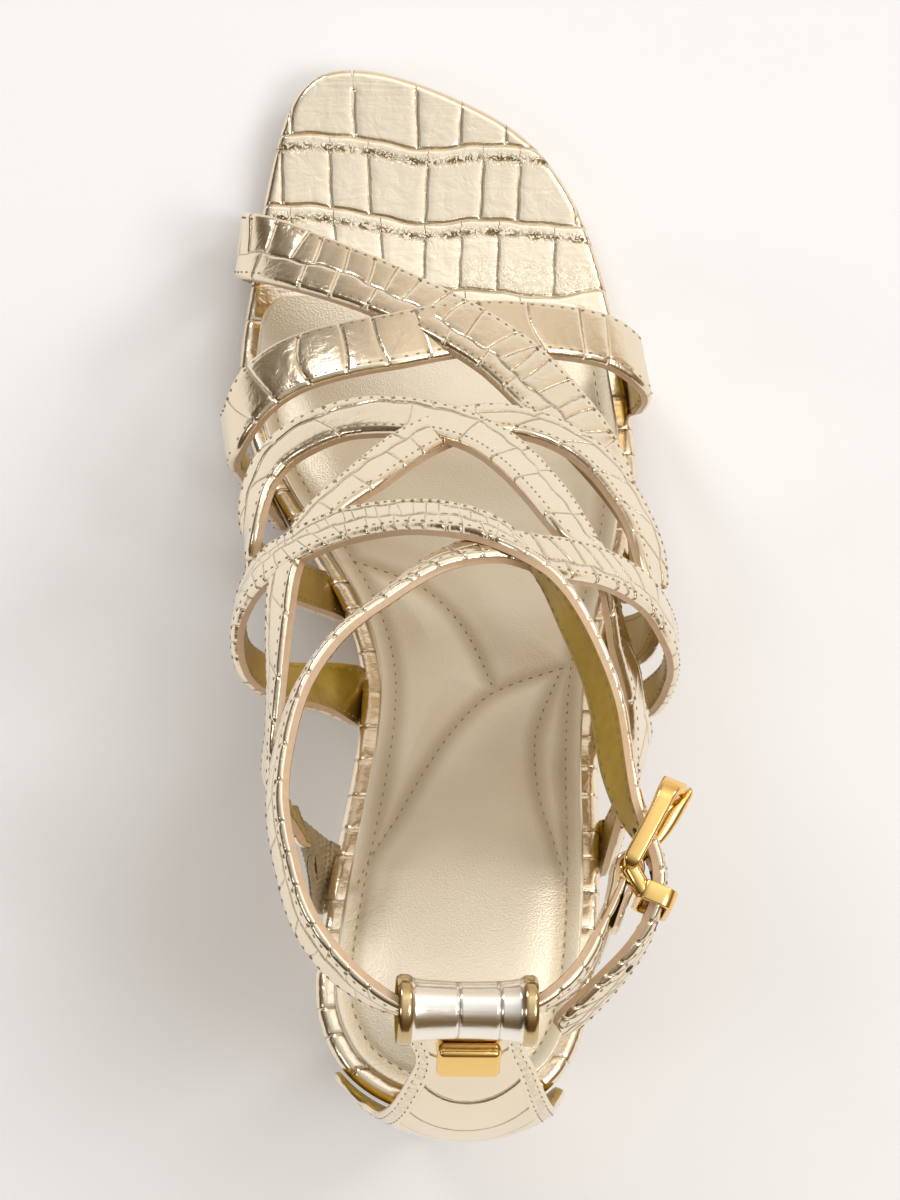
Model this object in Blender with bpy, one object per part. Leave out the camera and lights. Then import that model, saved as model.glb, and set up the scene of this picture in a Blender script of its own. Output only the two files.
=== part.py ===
"""Strappy heeled sandal, right shoe, standing empty on its forefoot and heel tip.

+Y runs from the heel to the toe, +X is the outer (lateral) side, +Z is up. The origin is the middle of the
object's box, on the floor. Tables are in millimetres and degrees, measured from the back of the sole.
"""

import bmesh
import bpy
import numpy as np
from math import cos, hypot, pi, radians, sin
from mathutils import Matrix, Vector

MM = 0.001
GAP = 0.3  # clearance between pieces that meet
BOARD_THICKNESS = 4.0
SOCK_THICKNESS = 1.6
SOCK_INSET = 3.3  # width of the wrapped rim left bare round the sock lining
SOCK_FRONT = 181.0
OUTSOLE_THICKNESS = 3.7
HEEL_BREAST = 50.0  # front face of the heel, from the back of the sole
HEEL_TIP_HEIGHT = 6.0
HEEL_TIP_BACK, HEEL_TIP_FRONT, HEEL_TIP_HALF = 14.0, 33.0, 11.0
STRAP_WALL = 2.5
STRAP_STEP = 3.6  # spacing of the sections along a strap
COUNTER_WALL = 1.6
BARREL_CENTRE = (-0.8, 10.4, 152.0)  # the tube across the back that the ankle strap runs through
BARREL_LENGTH = 24.0
BARREL_DEPTH, BORE_DEPTH = 0.88, 0.84  # from back to front, against the height
BUCKLE_CENTRE = (31.3, 42.6, 149.4)
BUCKLE_LENGTH, BUCKLE_HEIGHT, BUCKLE_BAR = 18.5, 15.0, 2.0
BUCKLE_DEPTHS, BUCKLE_BULGE = (4.6, 2.0, 3.1), 0.75  # far bar, near bar, the bars between; outward, far bar
BUCKLE_BEARING = 22.0  # degrees that the buckle's length is turned from straight ahead, outward
BUCKLE_SET_BACK = 1.2  # how far the bar that the strap folds round lies inside the far one
KEEPER_CENTRE = (31.9, 30.4, 148.6)
KEEPER_LENGTH, KEEPER_HEIGHT, KEEPER_WIDTH, KEEPER_WALL = 6.5, 14.0, 3.5, 1.0
KEEPER_BEARING = 22.0
PRONG_RADIUS = 0.8
FOLD_RADIUS, FOLD_BORE, FOLD_HALF = 2.9, 1.65, 4.6  # the ankle strap's end, folded round the buckle's bar
EYE_HALF = 0.95  # half the height of the prong's eye, between the fold's two loops
STUD_HEIGHT, STUD_SIZE = 50.0, (11.0, 7.5, 3.0)  # height up the counter; width, height, depth

# Height of the footbed along the middle of the shoe: seat, shank, ball, toe spring.
FOOTBED = (
    # along, height
    (-8, 94.6),
    (0, 94.0),
    (20, 91.5),
    (45, 84.0),
    (70, 69.0),
    (95, 48.0),
    (120, 27.0),
    (140, 14.6),
    (160, 9.0),
    (170, 8.0),
    (180, 7.7),
    (190, 7.8),
    (200, 8.6),
    (225, 12.0),
    (232, 13.4),
)

# The counter: the leather round the back of the heel, narrowing upwards into the tab that carries the barrel.
COUNTER = (
    # height, bulge beyond the board, reach round the medial side, reach round the lateral side
    (0, 0.0, 24.0, 18.5),
    (5, 1.5, 23.0, 18.0),
    (8, 2.3, 20.0, 16.5),
    (11, 3.0, 16.0, 15.0),
    (14, 3.6, 14.4, 14.2),
    (20, 4.2, 13.4, 13.4),
    (28, 3.4, 12.4, 12.4),
    (36, 0.6, 11.6, 11.6),
    (44, -3.6, 11.0, 11.0),
    (50, -6.8, 10.6, 10.6),
    (56, -9.4, 10.6, 10.6),
    (59, -10.2, 10.6, 10.6),
)
COUNTER_EASE = 30.0  # distance round from the back at which the bulge would have died away
COUNTER_FLAT_FROM, COUNTER_FLAT_AT = 42.0, 57.0  # the tab's section straightens between these heights

# Plan of the sole: the inner (medial) and outer (lateral) edges, left and right of the middle line.
HEEL_POINT, TOE_POINT = (1.5, 0.0), (-14.5, 225.0)
SOLE_PLAN = (
    # along, medial, lateral
    (2.2, -10.0, 12.5),
    (8.5, -19.0, 20.6),
    (20, -24.0, 25.4),
    (35, -23.2, 27.6),
    (52, -20.1, 28.6),
    (70, -16.5, 29.3),
    (90, -14.3, 31.6),
    (106, -17.0, 35.0),
    (120, -23.0, 39.0),
    (140, -32.8, 42.2),
    (160, -37.2, 40.6),
    (180, -34.9, 37.0),
    (196, -32.6, 31.8),
    (206, -30.6, 25.8),
    (213, -28.8, 18.8),
    (219.5, -26.0, 6.5),
    (223.8, -21.4, -6.0),
)

# The last: sections square to a line that runs up the middle of the foot, from the toe to above the ankle.
LAST = (
    # station, across, along, height, pitch, half width, rise, drop
    (0, -4, 218, 19, 0, 26, 10, 9),
    (1, 0, 195, 20, 3, 36, 13, 12),
    (2, 2, 172, 24, 12, 41, 17, 15),
    (3, 2, 150, 32, 22, 43, 22, 19),
    (4, 3, 128, 47, 35, 42, 26, 21),
    (5, 3, 106, 68, 43, 41, 31, 22),
    (6, 2, 86, 92, 51, 41, 35, 27),
    (7, 0, 67, 119, 62, 37, 38, 36),
    (8, -2, 53, 147, 80, 33, 40, 41),
    (9, -2, 50, 172, 90, 32, 38, 40),
)

# Straps, as routes over the last. station: place along the foot; turn: angle round it, from the top towards
# the outer side; lift: height of the strap's middle over the last; lean: tilt of its face from the last's.
# A route's ends are at the sole's edge: (side, along), side -1 medial and 1 lateral, or None for a free end.
TOE_STRAP_OVER = (
    (1.55, -74, 0.0, 15), (1.7, -57, 1.0, 8), (1.95, -39, 1.5, 0), (2.26, -22, 1.6, 0), (2.6, -9, 1.6, 2),
    (2.97, 3, 1.6, 7), (3.44, 14, 1.5, 14), (4.05, 24, 1.0, 18), (4.6, 36, 0.2, 15), (4.85, 50, -2.4, 8),
    (4.95, 66, -5.0, 0), (4.9, 84, -7.0, 0),
)
TOE_STRAP_UNDER = (
    (2.8, 80, -4.2, 0), (2.86, 64, -0.4, -3), (2.8, 48, 0.6, -8), (2.85, 28, 0.6, -11), (2.9, 13, 0.6, -13),
    (2.99, 0, 0.6, -15), (3.14, -14, 0.6, -17), (3.2, -29, 0.6, -17), (3.26, -45, 0.5, -17),
    (3.38, -60, 0.2, -14), (3.5, -78, -0.6, -6), (3.42, -96, -0.9, 0),
)
INSTEP_STRAP_OVER = (
    (4.74, -98, -2.8, 0), (4.8, -80, -1.6, 0), (4.58, -67, 0.0, 5), (4.41, -55, 0.6, 10),
    (4.38, -43, 1.0, 12), (4.4, -29, 1.2, 13), (4.58, -14, 1.0, 13), (4.82, -3, 1.1, 8), (5.17, 6, 1.3, 4),
    (5.66, 14, 1.0, 1), (6.2, 22, 0.3, 0), (6.64, 32, -0.3, 0), (6.73, 42, -0.9, 0), (6.74, 50, -3.8, 0),
    (6.71, 62, -7.0, 0), (6.65, 80, -7.6, 0), (6.58, 101, -6.4, 0), (6.48, 116, -3.0, 0),
)
INSTEP_STRAP_UNDER = (
    (5.65, 94, -6.2, 0), (5.95, 74, -4.8, 0), (6.15, 61, -1.4, 0), (5.82, 53, 0.7, -2), (5.5, 47, 1.1, -4),
    (5.1, 39, 1.3, -6), (4.84, 31, 1.3, -8), (4.64, 21, 0.7, -9), (4.58, 10, 0.4, -9), (4.76, -3, 0.3, -9),
    (5.14, -16, 0.3, -12), (5.58, -27, 0.3, -13), (5.81, -37, 0.1, -10), (6.06, -46, -0.2, -6),
    (6.3, -54, -0.5, 0), (6.48, -63, -2.6, 0), (6.64, -74, -4.4, 0), (6.76, -88, -5.0, 0),
    (6.81, -103, -3.6, 0), (6.77, -116, -0.9, 0), (6.68, -128, 0.6, 0), (6.59, -138, 3.9, 0),
)
ANKLE_STRAP_OVER = (
    (5.46, -134, 0.0, 0), (5.62, -116, 0.0, 0), (5.78, -98, -0.2, 0), (5.84, -82, 0.3, 0),
    (5.92, -67, 0.4, 6), (6.16, -52, 0.4, 8), (6.32, -41, 0.5, 10), (6.47, -32, 0.6, 11),
    (6.82, -16, 0.8, 14), (7.12, -6, 0.9, 15), (7.39, 4, 0.9, 9), (7.64, 14, 0.5, -3), (7.8, 30, -1.6, -27),
    (7.88, 44, -3.8, -36), (7.96, 60, -5.0, -34), (8.02, 73, -5.4, -34), (8.07, 87, -5.2, -30),
    (8.12, 99, -2.6, -16), (8.15, 105, 0.6, -4), (8.17, 112, 4.4, 0), (8.16, 119, 6.1, 0),
    (8.12, 128, 6.9, 9), (8.06, 137, 7.0, 18), (8.0, 146, 7.4, 22), (7.94, 155, 8.8, 24),
)
ANKLE_STRAP_UNDER = (
    (5.72, 128, 0.0, 0), (6.0, 106, -2.2, 0), (6.22, 84, -2.0, 0), (6.5, 68, 0.0, 0), (6.6, 57, 0.4, -2),
    (6.8, 46, 0.3, -4), (7.1, 36, 0.1, -8), (7.42, 26, -0.5, -14), (7.61, 12, -0.9, -8), (7.7, -8, -4.2, 4),
    (7.8, -30, -6.4, 6), (7.91, -49, -5.2, 4), (8.03, -68, -3.5, 0), (8.13, -85, -2.3, -6),
    (8.23, -100, -0.8, -10), (8.27, -115, 0.0, -13), (8.31, -129, 1.5, -17), (8.33, -145, 2.1, -17),
    (8.35, -162, 2.1, -3), (8.35, -173, 1.2, 0), (8.35, 178, 1.1, 0), (8.35, 169, 1.5, 0),
    (8.35, 158, 2.8, -3), (8.34, 146, 2.6, -12), (8.29, 137, 1.4, -13), (8.24, 126, 0.3, -10),
    (8.21, 121, -0.2, -5), (8.18, 116, -0.7, 0),
)


def smooth_table(rows):
    """A function of the first column that passes smoothly, without overshoot, through the other columns."""
    table = np.array(rows, float)
    at, values = table[:, 0], table[:, 1:]
    step = np.diff(at)[:, None]
    slope = np.diff(values, axis=0) / step
    weight_a, weight_b = 2 * step[1:] + step[:-1], step[1:] + 2 * step[:-1]
    turning = slope[:-1] * slope[1:] <= 0
    before, after = np.where(turning, 1.0, slope[:-1]), np.where(turning, 1.0, slope[1:])
    middle = (weight_a + weight_b) / (weight_a / before + weight_b / after)
    tangent = np.vstack([slope[:1], np.where(turning, 0.0, middle), slope[-1:]])

    def read(place):
        place = min(max(place, at[0]), at[-1])
        i = min(int(np.searchsorted(at, place, side="right")) - 1, len(at) - 2)
        span = at[i + 1] - at[i]
        t = (place - at[i]) / span
        ends = (1 + 2 * t) * (1 - t) ** 2 * values[i] + t * t * (3 - 2 * t) * values[i + 1]
        return ends + span * t * (1 - t) * ((1 - t) * tangent[i] - t * tangent[i + 1])

    return read


def even_points(points, count, closed=False):
    """The points' smooth curve as count + 1 evenly spaced points. It passes through every given point."""
    points = [np.array(p, float) for p in points]
    if closed:
        padded = [points[-1], *points, points[0], points[1]]
    else:
        padded = [2 * points[0] - points[1], *points, 2 * points[-1] - points[-2]]
    dense = []
    for a, b, c, d in zip(padded, padded[1:], padded[2:], padded[3:]):
        steps = [max(np.linalg.norm(q - p), 1e-6) ** 0.5 for p, q in ((a, b), (b, c), (c, d))]
        knots = np.cumsum([0, *steps])
        for t in np.linspace(knots[1], knots[2], 12, endpoint=False):
            rows = [a, b, c, d]
            for level in (1, 2, 3):
                rows = [
                    (p * (knots[i + level] - t) + q * (t - knots[i])) / (knots[i + level] - knots[i])
                    for i, (p, q) in enumerate(zip(rows, rows[1:]))
                ]
            dense.append(rows[0])
    dense.append(padded[-2])
    dense = np.array(dense)
    run = np.concatenate([[0], np.cumsum(np.linalg.norm(np.diff(dense, axis=0), axis=1))])
    places = np.linspace(0, run[-1], count + 1)
    return np.stack([np.interp(places, run, column) for column in dense.T], axis=1)


footbed_height = smooth_table(FOOTBED)
last_section = smooth_table(LAST)
sole_edges = smooth_table(SOLE_PLAN)
counter_section = smooth_table(COUNTER)


def sole_sides(count):
    """Paired points of the sole's plan, count + 1 a side from heel to toe, with their outward directions."""
    sides = []
    for column in (1, 2):
        rows = [HEEL_POINT, *((row[column], row[0]) for row in SOLE_PLAN), TOE_POINT]
        other = [(row[3 - column], row[0]) for row in SOLE_PLAN]
        ring = [*rows, *reversed(other)]
        loop = even_points(ring, 12 * len(ring), closed=True)
        half = loop[: int(np.argmin(np.linalg.norm(loop - TOE_POINT, axis=1)))]
        points = even_points([*half, TOE_POINT], count)
        ahead = np.gradient(points, axis=0)
        ahead[0], ahead[-1] = (2 * column - 3, 0), (3 - 2 * column, 0)
        ahead /= np.linalg.norm(ahead, axis=1)[:, None]
        outward = np.stack([ahead[:, 1], -ahead[:, 0]], axis=1) * (2 * column - 3)
        sides.append((points, outward))
    return sides


def collection(name):
    made = bpy.data.collections.new(name)
    bpy.context.scene.collection.children.link(made)
    return made


def material(name, colour, roughness, metallic):
    made = bpy.data.materials.new(name)
    made.use_nodes = True
    shader = made.node_tree.nodes["Principled BSDF"]
    shader.inputs["Base Color"].default_value = (*colour, 1)
    shader.inputs["Roughness"].default_value = roughness
    shader.inputs["Metallic"].default_value = metallic
    return made


def add_object(name, shape, look, where):
    """A new object from a bmesh in millimetres, with doubles merged and normals out."""
    bmesh.ops.remove_doubles(shape, verts=shape.verts, dist=1e-4)
    bmesh.ops.dissolve_degenerate(shape, edges=shape.edges, dist=1e-4)
    bmesh.ops.recalc_face_normals(shape, faces=shape.faces)
    bmesh.ops.scale(shape, vec=(MM, MM, MM), verts=shape.verts)
    mesh = bpy.data.meshes.new(name)
    shape.to_mesh(mesh)
    shape.free()
    mesh.shade_smooth()
    mesh.set_sharp_from_angle(angle=radians(35))
    made = bpy.data.objects.new(name, mesh)
    made.data.materials.append(look)
    where.objects.link(made)
    if where is cutters:
        made.hide_render = True
        made.display_type = "WIRE"
    return made


def loft(sections, capped=True, closed=False):
    """A bmesh skinned over closed sections that all have the same number of points.

    A cap is a ladder of faces between the two halves of its section, which suits thin and curved ones.
    """
    shape = bmesh.new()
    rings = [[shape.verts.new(p) for p in section] for section in sections]
    following = [*rings[1:], rings[0]] if closed else rings[1:]
    for ring, after in zip(rings, following):
        for i, corner in enumerate(ring):
            shape.faces.new((ring[i - 1], corner, after[i], after[i - 1]))
    for ring in (rings[0], rings[-1]) if capped and not closed else ():
        last = len(ring) - 1
        for i in range(len(ring) // 2):
            corners = dict.fromkeys((ring[i], ring[i + 1], ring[last - 1 - i], ring[last - i]))
            if len(corners) > 2:
                shape.faces.new(tuple(corners))
    return shape


def turned(axis, centre, profile, sides=20):
    """A solid turned about an axis through centre; the profile's rows are (place along the axis, radius)."""
    across = Vector(axis).orthogonal().normalized()
    around = [Matrix.Rotation(2 * pi * k / sides, 3, axis) @ across for k in range(sides)]
    middle, axis = np.array(centre), np.array(axis)
    rings = [[middle + axis * place + np.array(way) * radius for way in around] for place, radius in profile]
    return loft(rings)


def rod(start, end, radius, sides=10):
    start, end = np.array(start, float), np.array(end, float)
    length = np.linalg.norm(end - start)
    return turned((end - start) / length, start, ((0, radius), (length, radius)), sides)


def rectangular_ring(centre, across, up, half_across, half_up, bar, depths, corners, set_back=0.0, bulge=0.0):
    """A rectangular loop of flat bar.

    depths are for the far end, the near end and the bars between, and corners for the far and near ends. The
    near end is set back, and the far end stands out by the bulge.
    """
    centre, across, up = (np.array(v, float) for v in (centre, across, up))
    through = np.cross(across, up)
    sections = []
    for side, rise in ((1, 1), (-1, 1), (-1, -1), (1, -1)):
        radius = corners[side < 0]
        hub = across * side * (half_across - radius) + up * rise * (half_up - radius)
        hub = hub - through * set_back * (side < 0)
        for k in range(4):
            quarter = pi / 2 * k / 3
            turn = quarter if side == rise else pi / 2 - quarter
            out = across * side * cos(turn) + up * rise * sin(turn)
            upright = cos(turn) ** 2
            at = centre + hub + out * radius + through * bulge * upright * (side > 0)
            depth = depths[2] * (1 - upright) + depths[side < 0] * upright
            edge, face, soft = bar / 2, depth / 2, min(bar, depth) * 0.16
            section = [
                (edge, face - soft), (edge - soft, face), (soft - edge, face), (-edge, face - soft),
                (-edge, soft - face), (soft - edge, -face), (edge - soft, -face), (edge, soft - face),
            ]
            sections.append([at + out * a + through * b for a, b in section])
    return loft(sections, closed=True)


def boolean(target, tool, operation):
    step = target.modifiers.new(f"{operation.lower()} {tool.name}", "BOOLEAN")
    step.operation = operation
    step.object = tool


def rounded_edge(inset, top, thickness, radius):
    """The rounded side of a layer, as rows of (distance in from the sole's plan, height over the footbed)."""
    corner = [(radius * (1 - sin(turn)), radius * (1 - cos(turn))) for turn in (0, pi / 4, pi / 2)]
    upper_half = [(inset + across, top - down) for across, down in corner]
    return upper_half + [(inset + across, top - thickness + down) for across, down in reversed(corner)]


def footbed_layer(side, count=34, across=4):
    """A layer that follows the footbed; side is its edge's profile from its top to its underside."""
    (medial, medial_out), (lateral, lateral_out) = sole_sides(count)
    sections = []
    for i in range(count + 1):
        lateral_edge = [np.array([*(lateral[i] - lateral_out[i] * inset), z]) for inset, z in side]
        medial_edge = [np.array([*(medial[i] - medial_out[i] * inset), z]) for inset, z in reversed(side)]
        section = []
        for edge, after in ((lateral_edge, medial_edge), (medial_edge, lateral_edge)):
            section += edge
            section += [edge[-1] * (1 - t) + after[0] * t for t in np.linspace(0, 1, across + 1)[1:-1]]
        sections.append([(x, y, footbed_height(y)[0] + z) for x, y, z in section])
    return loft(sections, capped=False)


def cut_across(shape, along, keep):
    """Cuts the shape square at a place along the shoe, keeping the 'front' or the 'back', and closes it."""
    bmesh.ops.remove_doubles(shape, verts=shape.verts, dist=1e-4)
    every = [*shape.verts, *shape.edges, *shape.faces]
    bmesh.ops.bisect_plane(
        shape, geom=every, plane_co=(0, along, 0), plane_no=(0, 1, 0),
        clear_inner=keep == "front", clear_outer=keep == "back",
    )
    rim = [edge for edge in shape.edges if edge.is_boundary]
    bmesh.ops.contextual_create(shape, geom=rim)
    return shape


def last_point(station, turn, lift=0.0):
    """The point of the last at this station and turn, raised by lift square to its section."""
    across, along, height, pitch, half_width, rise, drop = last_section(station)
    turn, pitch = radians(turn), radians(pitch)
    depth = rise if cos(turn) >= 0 else drop
    out = np.array([sin(turn) / half_width, cos(turn) / depth])
    side, up = np.array([half_width * sin(turn), depth * cos(turn)]) + lift * out / np.linalg.norm(out)
    return np.array([across + side, along + up * sin(pitch), height + up * cos(pitch)])


def last_normal(station, turn):
    """The outward direction of the last's surface."""
    back, front = max(station - 0.2, 0), min(station + 0.2, 9)
    along = last_point(front, turn) - last_point(back, turn)
    around = last_point(station, turn + 3) - last_point(station, turn - 3)
    normal = np.cross(along, around)
    centre = last_section(station)
    outward = last_point(station, turn) - np.array([centre[0], centre[1], centre[2]])
    return normal / np.linalg.norm(normal) * (1 if normal @ outward > 0 else -1)


def sole_anchor(side, along):
    """Where a strap passes the board's edge: a point beside it and one below, and the outward direction."""
    reach = lambda place: np.array([sole_edges(place)[0 if side < 0 else 1], place])
    edge, run = reach(along), reach(along + 2) - reach(along - 2)
    out = np.array([run[1], -run[0]]) / hypot(*run) * side
    floor = footbed_height(along)[0]
    edge = edge + out * (GAP + STRAP_WALL / 2 + 0.1)
    beside, below = (np.array([*edge, floor - down]) for down in (BOARD_THICKNESS / 2, BOARD_THICKNESS + 3))
    return [beside, below], np.array([*out, 0.0])


def strap_sections(rows, start, end, widths, wall=STRAP_WALL, stretch=(0.0, 1.0)):
    """Closed six-point sections along a stretch of a strap's route over the last."""
    points = [last_point(station, turn, lift) for station, turn, lift, _ in rows]
    normals = [last_normal(station, turn) for station, turn, _, _ in rows]
    leans = [radians(row[3]) for row in rows]
    for anchor, at_start in ((start, True), (end, False)):
        if anchor is None:
            continue
        reached, outward = sole_anchor(*anchor)
        if at_start:
            points, normals = [reached[1], reached[0], *points], [outward, outward, *normals]
            leans = [0, 0, *leans]
        else:
            points, normals = [*points, *reached], [*normals, outward, outward]
            leans = [*leans, 0, 0]
    carried = [np.array([*p, *n, a]) for p, n, a in zip(points, normals, leans)]
    length = sum(np.linalg.norm(q - p) for p, q in zip(points, points[1:]))
    count = round(length * (stretch[1] - stretch[0]) / STRAP_STEP)
    whole = even_points(carried, 4 * count)
    places = np.linspace(stretch[0] * 4 * count, stretch[1] * 4 * count, count + 1)
    route = np.stack([np.interp(places, range(4 * count + 1), column) for column in whole.T], axis=1)
    ahead = np.gradient(route[:, :3], axis=0)
    sections = []
    for i, (row, tangent) in enumerate(zip(route, ahead)):
        tangent = tangent / np.linalg.norm(tangent)
        normal = row[3:6] - tangent * (row[3:6] @ tangent)
        normal /= np.linalg.norm(normal)
        side = np.cross(tangent, normal)
        normal, side = normal * cos(row[6]) + side * sin(row[6]), side * cos(row[6]) - normal * sin(row[6])
        width = widths[0] + (widths[1] - widths[0]) * min(1, 2 * i / count)
        middle = [(-0.5, 0.5), (0, 0.5), (0.5, 0.5), (0.5, -0.5), (0, -0.5), (-0.5, -0.5)]
        sections.append([row[:3] + side * width * a + normal * wall * b for a, b in middle])
    return sections


def heel_seat():
    """The sole's plan behind the heel breast, from its lateral corner round the back to the medial one."""
    (medial, medial_out), (lateral, lateral_out) = sole_sides(60)
    medial_x, lateral_x = sole_edges(HEEL_BREAST)
    back = [p - out * GAP for p, out in zip(lateral, lateral_out) if p[1] < HEEL_BREAST - 2][::-1]
    back += [p - out * GAP for p, out in zip(medial, medial_out) if p[1] < HEEL_BREAST - 2][1:]
    return even_points([(lateral_x - GAP, HEEL_BREAST), *back, (medial_x + GAP, HEEL_BREAST)], 24)


def heel_foot():
    """The plan of the heel at the floor: a D with its straight side in front."""
    middle, bend = HEEL_POINT[0] + 0.5, HEEL_TIP_FRONT - 9.0
    arc = [
        (middle + HEEL_TIP_HALF * cos(turn), bend - (bend - HEEL_TIP_BACK) * sin(turn))
        for turn in np.linspace(0, pi, 13)
    ]
    return even_points([(arc[0][0], HEEL_TIP_FRONT), *arc, (arc[-1][0], HEEL_TIP_FRONT)], 24)


def counter_point(share, height):
    """A point of the counter's inner face: share runs from -1 at its medial edge to 1 at its lateral one."""
    bulge, medial_reach, lateral_reach = counter_section(height)
    round_by = share * (medial_reach if share < 0 else lateral_reach)
    points, outward = heel_back[0 if share < 0 else 1]
    place = abs(round_by) / HEEL_BACK_STEP
    at = np.array([np.interp(place, range(len(points)), column) for column in points.T])
    away = np.array([np.interp(place, range(len(points)), column) for column in outward.T])
    away /= np.linalg.norm(away)
    eased = bulge * (1 - (round_by / COUNTER_EASE) ** 2)
    curved = at + away * (GAP + eased)
    flat = np.array([BARREL_CENTRE[0] + round_by, -GAP - bulge])
    part = min(max((height - COUNTER_FLAT_FROM) / (COUNTER_FLAT_AT - COUNTER_FLAT_FROM), 0), 1)
    part = part * part * (3 - 2 * part)
    place = curved * (1 - part) + flat * part
    return np.array([*place, footbed_height(at[1])[0] - BOARD_THICKNESS + height])


def counter_normal(share, height):
    run = counter_point(min(share + 0.05, 1), height) - counter_point(max(share - 0.05, -1), height)
    rise = counter_point(share, height + 1) - counter_point(share, max(height - 1, 0))
    normal = np.cross(run, rise)
    return normal / np.linalg.norm(normal)


heel_back = sole_sides(120)
HEEL_BACK_STEP = float(np.linalg.norm(heel_back[0][0][2] - heel_back[0][0][1]))


# ---------------------------------------------------------------- the shoe
for old in list(bpy.data.objects):
    bpy.data.objects.remove(old, do_unlink=True)
sandal = collection("strappy_heeled_sandal")
cutters = collection("cutters")

gold_leather = material("gold embossed leather", (0.80, 0.70, 0.52), 0.22, 0.9)
sock_leather = material("champagne sock lining", (0.72, 0.64, 0.50), 0.45, 0.6)
sole_leather = material("outsole", (0.55, 0.42, 0.28), 0.5, 0.0)
tip_rubber = material("heel tip", (0.08, 0.06, 0.05), 0.6, 0.0)
gold_metal = material("gold metal", (0.95, 0.72, 0.35), 0.15, 1.0)
gold_elastic = material("bronze elastic", (0.55, 0.42, 0.22), 0.6, 0.3)

# Board: the wrapped footbed, with its bare rim and toe, and the sock lining on it.
board = footbed_layer(rounded_edge(0, 0, BOARD_THICKNESS, 2.0))
add_object("insole_board", board, gold_leather, sandal)
sock = footbed_layer(rounded_edge(SOCK_INSET, GAP + SOCK_THICKNESS, SOCK_THICKNESS, 0.7))
add_object("sock_lining", cut_across(sock, SOCK_FRONT, "back"), sock_leather, sandal)

# Outsole: from the heel breast to the toe, flattened where it stands.
outsole = footbed_layer(rounded_edge(0.4, -BOARD_THICKNESS - GAP, OUTSOLE_THICKNESS, 0.5))
cut_across(outsole, HEEL_BREAST + GAP, "front")
for vert in outsole.verts:
    vert.co.z = max(vert.co.z, 0.0)
add_object("outsole", outsole, sole_leather, sandal)

# What trims the straps' ends: the board with its clearance, widening to all that is under it.
underside = -BOARD_THICKNESS - 0.05
beside = 0.05 - GAP
sole_space = [(2, GAP), (0.4, -0.4), (beside, -2), (beside, underside), (-9, underside), (-9, -20)]
sole_space = add_object("sole_space", footbed_layer(sole_space), gold_leather, cutters)

# Upper: every strap joined where they cross.
GORE_FROM = 0.93  # share of the inner instep strap's route at which the elastic takes over
STRAPS = (
    # name, route, start, end, width at the start and the end, stretch
    ("upper_straps", INSTEP_STRAP_UNDER, (1, 99), (-1, 46), (10.5, 10.0), (0, GORE_FROM - 0.0015)),
    ("toe_strap_over", TOE_STRAP_OVER, (-1, 188), (1, 118), (13.4, 13.4), (0, 1)),
    ("toe_strap_under", TOE_STRAP_UNDER, (1, 161), (-1, 134), (13.0, 13.0), (0, 1)),
    ("instep_strap_over", INSTEP_STRAP_OVER, (-1, 111), (1, 53), (10.8, 10.8), (0, 1)),
    ("ankle_strap_over", ANKLE_STRAP_OVER, (-1, 86), None, (11.6, 9.2), (0, 1)),
    ("ankle_strap_under", ANKLE_STRAP_UNDER, (1, 80), None, (11.6, 9.2), (0, 1)),
)
straps = []
for name, rows, start, end, widths, stretch in STRAPS:
    shape = loft(strap_sections(rows, start, end, widths, stretch=stretch))
    straps.append(add_object(name, shape, gold_leather, cutters if straps else sandal))
upper = straps[0]
for strap in straps[1:]:
    boolean(upper, strap, "UNION")

# The near end of the ankle strap is folded round the buckle's bar, in two loops with the prong's eye between.
bearing, keeper_bearing = radians(BUCKLE_BEARING), radians(KEEPER_BEARING)
ahead, outward = np.array([sin(bearing), cos(bearing), 0]), np.array([cos(bearing), -sin(bearing), 0])
near_bar = np.array(BUCKLE_CENTRE) - ahead * (BUCKLE_LENGTH - BUCKLE_BAR) / 2 - outward * BUCKLE_SET_BACK
far_bar = np.array(BUCKLE_CENTRE) + ahead * (BUCKLE_LENGTH - BUCKLE_BAR) / 2
prong_start = near_bar + ahead * (FOLD_BORE + 0.4)
far_face = BUCKLE_DEPTHS[0] / 2 + BUCKLE_BULGE
prong_end = far_bar + outward * (far_face + 3 * GAP + PRONG_RADIUS) + ahead * 0.9
UP = (0, 0, 1)
fold = turned(UP, near_bar, ((-FOLD_HALF, FOLD_RADIUS), (FOLD_HALF, FOLD_RADIUS)))
fold = add_object("strap_fold", fold, gold_leather, cutters)
fold_bore = turned(UP, near_bar, ((-FOLD_HALF - 2.4, FOLD_BORE), (FOLD_HALF + 2.4, FOLD_BORE)))
fold_bore = add_object("fold_bore", fold_bore, gold_leather, cutters)
slot, slot_half = FOLD_RADIUS + 0.15, EYE_HALF + 0.35
prong_slot = turned(UP, near_bar, ((-slot_half, slot), (slot_half, slot)))
prong_slot = add_object("prong_slot", prong_slot, gold_leather, cutters)
prong_hole = rod(prong_start, prong_end, PRONG_RADIUS + 0.35)
prong_hole = add_object("prong_hole", prong_hole, gold_leather, cutters)
boolean(upper, fold, "UNION")
for cutter in (fold_bore, prong_slot, prong_hole, sole_space):
    boolean(upper, cutter, "DIFFERENCE")

# Elastic gore: from the end of the inner instep strap to the sole.
gore = strap_sections(
    INSTEP_STRAP_UNDER, (1, 99), (-1, 46), (13.0, 13.0), wall=1.2, stretch=(GORE_FROM + 0.0015, 1)
)
gore = add_object("elastic_gore", loft(gore), gold_elastic, sandal)
boolean(gore, sole_space, "DIFFERENCE")

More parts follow.
